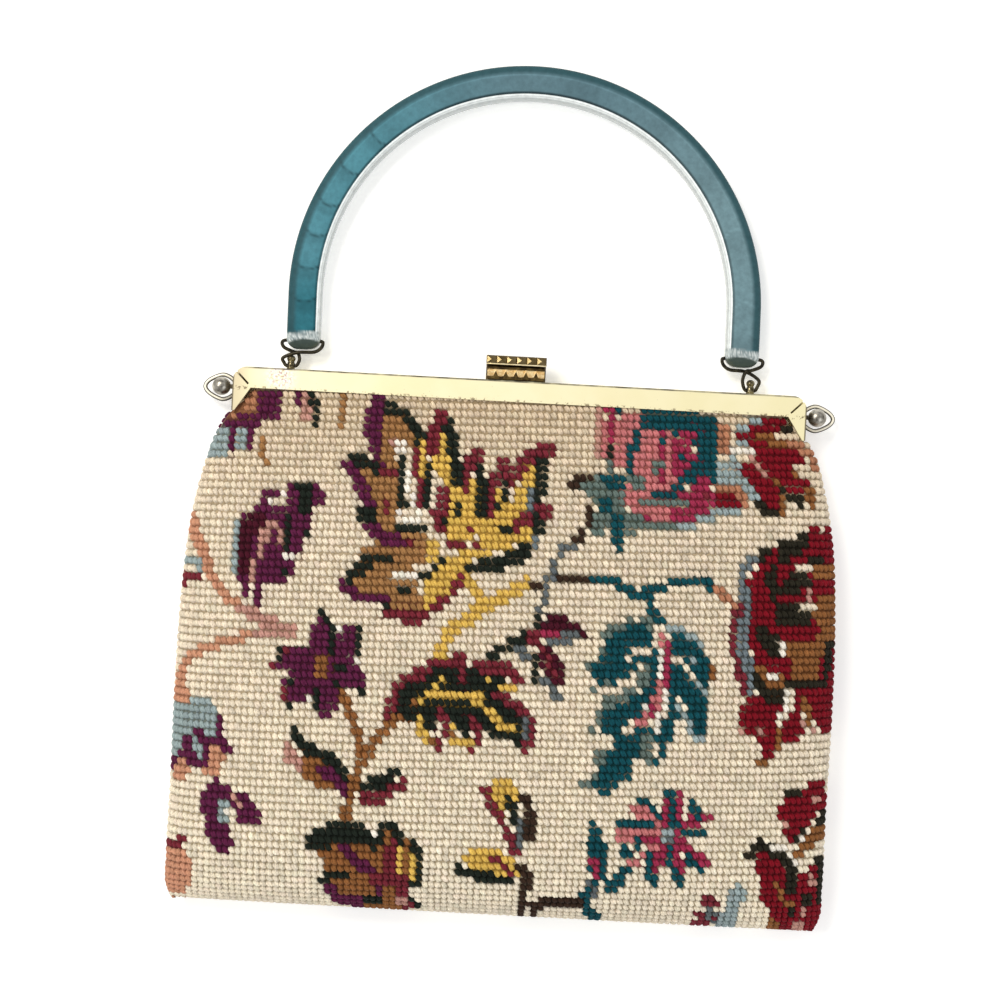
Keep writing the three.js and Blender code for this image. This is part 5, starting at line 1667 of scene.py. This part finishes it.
def edge_shade_and_rims(tree, colour):
    """A dark top edge and a duller left end, both painted shade, and dark rims at both ends."""
    # Painted shadow in patches along the top edge of the face, where the halves meet
    patches = specks(tree, 160, 3, (0.3, 0.45), (0.6, 0.95))
    edge = times(tree, band_mask(tree, "Y", FRAME_TOP, TOP_SHADOW_MM), patches)
    edge = times(tree, edge, band_mask(tree, "Z", PLATE_FACE_MM * MM, TOP_SHADOW_FACE_MM))
    colour = stain(tree, colour, edge, GILT["top shadow"])
    end = FRAME_END_MM * MM
    # Painted shade on the left end
    colour = stain(tree, colour, band_mask(tree, "X", -end, LEFT_END_SHADE_MM), GILT["left end shade"])
    for side in SIDE_NAMES:
        rim = band_mask(tree, "X", side * end, [side * place for place in RIM_MM])
        colour = stain(tree, colour, rim, GILT["rim"])
    return colour


def worn_below(tree, colour):
    """Specks of bare metal along the plate's lower edge."""
    low_edge = FRAME_TOP - PLATE_MM["height"] * MM
    bare = specks(tree, 700, 3, (0.55, 0.0), (0.6, 0.8))
    worn = times(tree, band_mask(tree, "Y", low_edge, WORN_MM), bare)
    worn = times(tree, worn, band_mask(tree, "Y", low_edge, WORN_BELOW_MM))
    return stain(tree, colour, worn, GILT["worn"])


def gilt_material():
    """Pale gold plate with chips and wear."""
    material, tree, shader = new_material("gilt", GILT["plain"], roughness=0.42, metallic=0.35)
    deep, pale = GILT["tints"]
    tint = ramp(tree, noise(tree, scale=40), (0.35, deep), (0.65, pale))
    chips = grey_ramp(tree, noise(tree, scale=1500, detail=2, roughness=0.4), (0.2, 0.5), (0.25, 1.0))
    colour = edge_shade_and_rims(tree, scuffed(tree, shade(tree, tint, chips)))
    feed(tree, worn_below(tree, colour), shader, "Base Color")
    return material


# Rounding of edges as widths in millimetres and segments, and angles of edges to round or to take out
FRAME_ROUND = (0.28, 3)
CLASP_ROUND = (0.15, 2)
BAR_ROUND = (0.2, 2)
ROUND_ANGLE = math.radians(35)
FLAT_ANGLE = math.radians(1)
WELD = 1e-6


def copy_node(name, node, rounding):
    """A copy of a solid's mesh with its edges rounded."""
    obj = bpy.data.objects.new(name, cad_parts[node].data.copy())
    bpy.context.scene.collection.objects.link(obj)
    build = bmesh.new()
    build.from_mesh(obj.data)
    bmesh.ops.remove_doubles(build, verts=build.verts, dist=WELD)
    bmesh.ops.dissolve_limit(build, angle_limit=FLAT_ANGLE, verts=build.verts, edges=build.edges)
    build.to_mesh(obj.data)
    build.free()
    round_edges(obj, *rounding)
    return obj


def round_edges(obj, bevel_mm, segments):
    """Round an object's sharp edges."""
    round_off = obj.modifiers.new("round", "BEVEL")
    round_off.width = bevel_mm * MM
    round_off.segments = segments
    round_off.limit_method = "ANGLE"
    round_off.angle_limit = ROUND_ANGLE
    settle(obj)
    obj.data.polygons.foreach_set("use_smooth", [False] * len(obj.data.polygons))


HINGE_DROP_MM = 8.4
HINGE_HEIGHT_MM = 11.2
BALL_X_MM = 125.4
BALL_RADIUS_MM = 3.85
BALL_RINGS = 18
BORE_SIDES = 24

# Turned pieces as radii and places along them
PIN_PROFILE_MM = ((0, 115.2), (2.0, 115.2), (2.1, 115.6), (2.1, 116.3), (1.9, 116.5), (1.0, 116.6))
POST_PROFILE_MM = ((0, -2.3), (1.9, -2.3), (1.95, -1.6), (1.1, -1.5), (1.1, 0.3), (1.65, 0.45), (1.78, 1.2),
                   (1.8, 2.1), (1.75, 2.9), (1.5, 3.45), (1.3, 3.75), (1.55, 4.15), (1.82, 4.7), (1.8, 5.3),
                   (1.45, 6.0), (0.85, 6.45), (0, 6.62))

# Almond rings: the wire's upper arm by distances past the frame's end and up from the hinge, and its tip
RING_ARM_MM = ((-2.6, 2.3), (-0.4, 2.3), (0.6, 2.5), (3.4, 4.5), (6.6, 5.1), (11.5, 2.8))
RING_TIP_MM = 13.38
RING_WIRE_MM = 0.92
RING_HEIGHT_MM = 4.6
RING_POINTS = 110
RING_SIDES = 20
# Painted reflection on the ring's wire: dark sides, bright crown, and where across the wire's height it
# turns bright
RING_REFLECTION_COLOURS = ("2C2618", "FFF8E2")
RING_REFLECTION_BRIGHT = (0.8, 0.95)


def lathe(name, profile, place, sides=28):
    """A turned piece from (radius, along) in millimetres: along is X and grows to the right of place."""
    turn = circle_angles(sides)
    vertices, rows = [], []
    for radius, along in profile:
        rows.append(len(vertices))
        for angle in turn if radius > 0 else turn[:1]:
            vertices.append((along * MM, radius * math.cos(angle) * MM, radius * math.sin(angle) * MM))
    rows.append(len(vertices))
    faces = []
    for i in range(len(profile) - 1):
        low, high = rows[i], rows[i + 1]
        for k in range(sides):
            a, b = low + k, low + (k + 1) % sides
            c, d = high + (k + 1) % sides, high + k
            if rows[i + 1] - low == 1:
                faces.append((low, c, d))
            elif rows[i + 2] - high == 1:
                faces.append((a, b, high))
            else:
                faces.append((a, b, c, d))
    obj = new_object(name, vertices, faces)
    obj.data.transform(place)
    return obj


def bore(obj, place, radius, length):
    """Cut a round hole; place turns a cylinder along Z into the hole."""
    build = bmesh.new()
    ends = {"radius1": radius, "radius2": radius, "depth": length}
    bmesh.ops.create_cone(build, cap_ends=True, segments=BORE_SIDES, **ends)
    bmesh.ops.transform(build, matrix=place, verts=build.verts)
    mesh = bpy.data.meshes.new("hole")
    build.to_mesh(mesh)
    build.free()
    tool = bpy.data.objects.new("hole", mesh)
    bpy.context.scene.collection.objects.link(tool)
    cut = obj.modifiers.new("hole", "BOOLEAN")
    cut.operation = "DIFFERENCE"
    cut.solver = "EXACT"
    cut.object = tool
    settle(obj)
    bpy.data.objects.remove(tool)


def make_pin(side, material):
    """A rivet with a ball head."""
    neck = PIN_PROFILE_MM[-1][0]
    angles = np.linspace(math.asin(neck / BALL_RADIUS_MM), math.pi, BALL_RINGS)[:-1]
    ball = [(BALL_RADIUS_MM * math.sin(a), BALL_X_MM - BALL_RADIUS_MM * math.cos(a)) for a in angles]
    profile = [*PIN_PROFILE_MM, *ball, (0, BALL_X_MM + BALL_RADIUS_MM)]
    place = Matrix.Translation((0, FRAME_TOP - HINGE_DROP_MM * MM, HINGE_HEIGHT_MM * MM))
    flip = Matrix.Rotation(math.pi if side < 0 else 0.0, 4, "Z")
    pin = lathe("hinge_ball_" + SIDE_NAMES[side], profile, place @ flip)
    set_material(pin, material)
    return pin


def make_ring(side, material):
    """A ring of wire round a ball head, with a painted reflection: bright along its crown, dark along its
    sides.
    """
    hinge = FRAME_TOP - HINGE_DROP_MM * MM
    route = [*RING_ARM_MM, (RING_TIP_MM, 0), *((x, -y) for x, y in RING_ARM_MM[::-1])]
    points = [(side * (FRAME_END_MM + x) * MM, hinge + y * MM, RING_HEIGHT_MM * MM) for x, y in route]
    path = open_curve(points, RING_POINTS)
    ring = tube("almond_ring_" + SIDE_NAMES[side], path, RING_WIRE_MM * MM, RING_SIDES, closed=False)
    heights = np.array([vertex.co.z for vertex in ring.data.vertices]) / MM
    crown = np.abs(heights - RING_HEIGHT_MM) / RING_WIRE_MM
    # Painted reflection: bright on the crown, dark on the sides
    set_colours(ring, "wire", mix(*RING_REFLECTION_COLOURS, smooth_step(*RING_REFLECTION_BRIGHT, crown)))
    set_material(ring, material)
    return ring


def ring_reflection_material():
    """Wire coloured by its painted reflection: bright along its crown, dark along its sides."""
    material, tree, shader = new_material("ring_reflection_wire", "FBF4DC", roughness=0.35, metallic=0.2)
    feed(tree, painted(tree, "wire"), shader, "Base Color")
    return material


def make_post(side, material):
    """A stud with a bulb head, bored across for the wire."""
    foot = Matrix.Translation((side * POST_X_MM * MM, FRAME_TOP, EYE_HEIGHT_MM * MM))
    post = lathe("post_" + SIDE_NAMES[side], POST_PROFILE_MM, foot @ quarter_turn("Z"))
    eye = Matrix.Translation((side * POST_X_MM * MM, FRAME_TOP + EYE_UP_MM * MM, EYE_HEIGHT_MM * MM))
    bore(post, eye @ quarter_turn("Y"), EYE_RADIUS_MM * MM, EYE_BORE_MM * MM)
    set_material(post, material)
    return post


# Kiss lock

CLASP_X_MM = -2.1
CLASP_FRONT_MM = 23.8
CLASP_BACK_MM = 25.2

# The back bar's profile as heights and distances above the frame
BAR_PROFILE_MM = ((1.2, 0.1), (7.4, 0.1), (7.4, 6.8), (14.4, 6.8), (15.0, 7.0), (15.0, 10.2),
                  (14.5, 10.4), (6.8, 10.4), (5.9, 9.6), (5.9, 1.3), (1.2, 1.3))

# The front band's profile as distances above the frame and heights, and its notches
BAND_PROFILE_MM = ((4.7, 15.3), (4.62, 15.7), (4.4, 16.05), (4.0, 16.3),
                   (3.5, 16.38), (2.9, 16.3), (2.3, 16.2), (1.5, 16.2))
BAND_COLUMNS = 239
BAND_THICK_MM = 0.5
NOTCHES = 5
NOTCH_PITCH_MM = 4.2
NOTCH_POWER = 1.15
NOTCH_MM = {"rise": 1.9, "half": 0.95, "shoulder rise": 0.35, "shoulder half": 1.9}

FACETS = 6
FACET_MM = {"half": (1.86, 1.42), "up": 8.66, "base": 14.98, "rise": 0.6}
CLASP_RIM_MM = {"half": 12.4, "up": 6.85, "height": 14.75, "radius": 0.32}
CLASP_RIM_POINTS = 12
CLASP_RIM_SIDES = 10


def notch_rise(x):
    """How far the band's lower edge rises, in millimetres, at a distance from the band's middle."""
    k = np.clip(np.round(x / NOTCH_PITCH_MM), -(NOTCHES // 2), NOTCHES // 2)
    off = np.abs(x - k * NOTCH_PITCH_MM)
    point = NOTCH_MM["rise"] * np.clip(1 - (off / NOTCH_MM["half"]) ** NOTCH_POWER, 0, 1)
    return point + NOTCH_MM["shoulder rise"] * np.clip(1 - off / NOTCH_MM["shoulder half"], 0, 1)


def clasp_points(places):
    """Points of the model from places in millimetres: from the clasp's middle, above the frame, and up."""
    return np.array([((CLASP_X_MM + x) * MM, FRAME_TOP + y * MM, z * MM) for x, y, z in places])


def make_band(material):
    """The bright front band with its row of pointed notches, as a bent strip with thickness."""
    above, heights = np.array(BAND_PROFILE_MM).T
    top, bottom = above[0], above[-1]
    share = (above - bottom) / (top - bottom)
    rings = []
    for x in np.linspace(-CLASP_FRONT_MM / 2, CLASP_FRONT_MM / 2, BAND_COLUMNS):
        low = bottom + notch_rise(x)
        outer = [(x, y, z) for y, z in zip(low + share * (top - low), heights)]
        inner = [(x, y, z - BAND_THICK_MM) for x, y, z in outer[::-1]]
        rings.append(clasp_points(outer + inner))
    band = loft("clasp_notched_band", rings)
    set_material(band, material)
    return band


def make_bar(material):
    """The back bar, drawn out along X from its profile."""
    half = CLASP_BACK_MM / 2
    ends = [clasp_points([(x, y, z) for z, y in BAR_PROFILE_MM]) for x in (-half, half)]
    bar = loft("clasp_back_bar", ends)
    round_edges(bar, *BAR_ROUND)
    set_material(bar, material)
    return bar


def make_facets(material):
    """The row of low four-sided pyramids on the back bar's face."""
    half_x, half_y = FACET_MM["half"]
    y, z = FACET_MM["up"], FACET_MM["base"]
    places, faces = [], []
    for i in range(FACETS):
        x = (i - (FACETS - 1) / 2) * CLASP_BACK_MM / FACETS
        start = len(places)
        corners = ((-1, -1), (1, -1), (1, 1), (-1, 1))
        places += [(x + a * half_x, y + b * half_y, z) for a, b in corners]
        places.append((x, y, z + FACET_MM["rise"]))
        faces += [(start + k, start + (k + 1) % 4, start + 4) for k in range(4)]
        faces.append((start + 3, start + 2, start + 1, start))
    facets = new_object("clasp_facets", clasp_points(places), faces, smooth=False)
    set_material(facets, material)
    return facets


def make_rim(material):
    """The thin bright rim along the lower edge of the back bar."""
    places = np.linspace(-CLASP_RIM_MM["half"], CLASP_RIM_MM["half"], CLASP_RIM_POINTS)
    path = clasp_points([(x, CLASP_RIM_MM["up"], CLASP_RIM_MM["height"]) for x in places])
    rim = tube("clasp_rim", path, CLASP_RIM_MM["radius"] * MM, CLASP_RIM_SIDES, closed=False)
    set_material(rim, material)
    return rim


def make_clasp():
    dark = metal_material("clasp_dark")
    back = make_bar(dark)
    front = copy_node("clasp_front_bar", "clasp_front", CLASP_ROUND)
    set_material(front, dark)
    band = make_band(metal_material("clasp_gold"))
    rim = make_rim(metal_material("clasp_rim"))
    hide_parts("clasp_back")
    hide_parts("clasp_front")
    return [back, make_facets(metal_material("clasp_faceted")), front, band, rim]


def make_frame(gilt):
    halves = []
    for name in ("frame_front", "frame_back"):
        half = copy_node(name + "_plate", name, FRAME_ROUND)
        set_material(half, gilt)
        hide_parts(name)
        halves.append(half)
    return halves


# Overcast edge: slanted stitches round the side seams and the bottom fold

EDGE_PITCH_MM = 2.75
EDGE_START_MM = 19.0
EDGE_DROPS = 400
EDGE_PLACES = 500
EDGE_AHEAD_MM = 1.5
EDGE_INWARD_MM = 2.6
EDGE_LONG_MM = 2.6
EDGE_WIDE_MM = 0.72
EDGE_RISE_MM = (-0.9, 0.7)
EDGE_SLANT = math.radians(68)


def edge_route():
    """Across and drop of points down the left seam, along the bottom fold and up the right seam."""
    fold = BAG_DROP_MM - FOLD_ROOM_MM
    drops = np.linspace(EDGE_START_MM, fold, EDGE_DROPS)
    places = np.linspace(-1, 1, EDGE_PLACES)[1:-1]
    side = np.ones(EDGE_DROPS)
    across = np.concatenate([-side, places, side])
    return across, np.concatenate([drops, np.full(places.shape, fold), drops[::-1]])


def make_edge(wool):
    across, drop = edge_route()
    points = wall_points(front_height, across, drop)
    points[:, 2] = section("seam", drop) * MM
    run = run_along(points)
    stops = np.arange(0.5, run[-1] / EDGE_PITCH_MM) * EDGE_PITCH_MM

    def points_at(distances):
        return np.stack([np.interp(distances, run, points[:, k]) for k in range(3)], axis=1)

    places = points_at(stops)
    along = unit(points_at(stops + EDGE_AHEAD_MM) - points_at(stops - EDGE_AHEAD_MM))
    out = unit(np.cross(along, UPWARD))
    axes = (along, np.cross(out, along), out)
    colours = chart_colours(*chart_places(places - out * EDGE_INWARD_MM * MM))[0]
    strands = in_pairs(places, axes, colours)
    size = (EDGE_LONG_MM, EDGE_WIDE_MM, EDGE_RISE_MM)
    return strand_field("edge_stitches", *strands, *size, EDGE_SLANT, wool)


# Camera, floor and light

FLOOR_RADIUS = 3.0
FLOOR_SIDES = 96
FLOOR_LEVEL = -0.0012
WORLD_STRENGTH = 0.62
WHITE = (1, 1, 1, 1)

# Lights that face the bag's middle: place, size, power and colour
LIGHTS = {
    "key": ((-0.55, 0.6, 1.0), 0.5, 8.0, "FFFAF2"),
    "glint": ((-0.72, 0.05, 1.0), 0.22, 1.8, "FFFFFF"),
    "fill": ((0.8, -0.5, 1.1), 0.9, 4.0, "F4F8FF"),
}


def make_camera():
    camera = bpy.data.objects.new("camera", bpy.data.cameras.new("camera"))
    bpy.context.scene.collection.objects.link(camera)
    camera.data.sensor_width = SENSOR_MM
    camera.data.lens = camera.data.sensor_width * VIEW_HEIGHT / VIEW_FIELD
    camera.location = (*VIEW_MIDDLE, VIEW_LEVEL + VIEW_HEIGHT)
    camera.rotation_euler = (0, 0, VIEW_TURN)
    bpy.context.scene.camera = camera


def make_floor():
    mesh = bpy.data.meshes.new("floor")
    build = bmesh.new()
    bmesh.ops.create_circle(build, cap_ends=True, segments=FLOOR_SIDES, radius=FLOOR_RADIUS)
    build.to_mesh(mesh)
    build.free()
    floor = bpy.data.objects.new("floor", mesh)
    floor.location.z = FLOOR_LEVEL
    bpy.context.scene.collection.objects.link(floor)
    material, _, shader = new_material("paper", "F4F3F0", roughness=0.9)
    set_inputs(shader, {"Specular IOR Level": 0.1, "Emission Color": WHITE, "Emission Strength": 0.3})
    set_material(floor, material)


def area_light(name, place, size, power, colour):
    data = bpy.data.lights.new(name, "AREA")
    data.shape = "DISK"
    data.size = size
    data.energy = power
    data.color = linear(colour)
    light = bpy.data.objects.new(name, data)
    light.location = place
    light.rotation_euler = (-Vector(place)).to_track_quat("-Z", "Y").to_euler()
    bpy.context.scene.collection.objects.link(light)


def make_light():
    world = bpy.data.worlds.new("studio")
    world.use_nodes = True
    set_inputs(world.node_tree.nodes["Background"], {"Color": WHITE, "Strength": WORLD_STRENGTH})
    bpy.context.scene.world = world
    for name, settings in LIGHTS.items():
        area_light(name, *settings)
    bpy.context.scene.view_settings.view_transform = "Standard"


make_camera()
make_floor()
make_light()

looks = (wool_material(), canvas_material())
front_cloth, front_stitches = make_wall("front", front_height, FRONT_TURN_MM, 1, FRONT_RISE_MM, *looks)
back_cloth, back_stitches = make_wall("back", back_height, BACK_TURN_MM, -1, BACK_RISE_MM, *looks)
edge = make_edge(looks[0])
for piece in (front_cloth, back_cloth, edge, *front_stitches, *back_stitches):
    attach(piece, "bag")

for cloth, height, on_it in (
    (front_cloth, front_height, [*front_stitches, edge]),
    (back_cloth, back_height, back_stitches),
):
    flat = (SHEET_WIDTH, sheet_area(height) / SHEET_WIDTH)

handle_pieces = make_handle()
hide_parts("handle")
for piece in handle_pieces:
    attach(piece, "handle")

post_brass = metal_material("post_brass")
pewter = metal_material("worn_pewter")
ring_reflection_wire = ring_reflection_material()
make_wires(metal_material("dark_bronze"))
for piece in make_frame(gilt_material()):
    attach(piece, "bag")
for piece in make_clasp():
    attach(piece, "bag")
for side, name in SIDE_NAMES.items():
    for piece, node, slot in (
        (make_pin(side, pewter), "hinge_pin_", "pewter"),
        (make_ring(side, ring_reflection_wire), "end_ring_", "gilt_frame"),
        (make_post(side, post_brass), "handle_post_", "dark_bronze"),
    ):
        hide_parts(node + name)
        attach(piece, "bag")
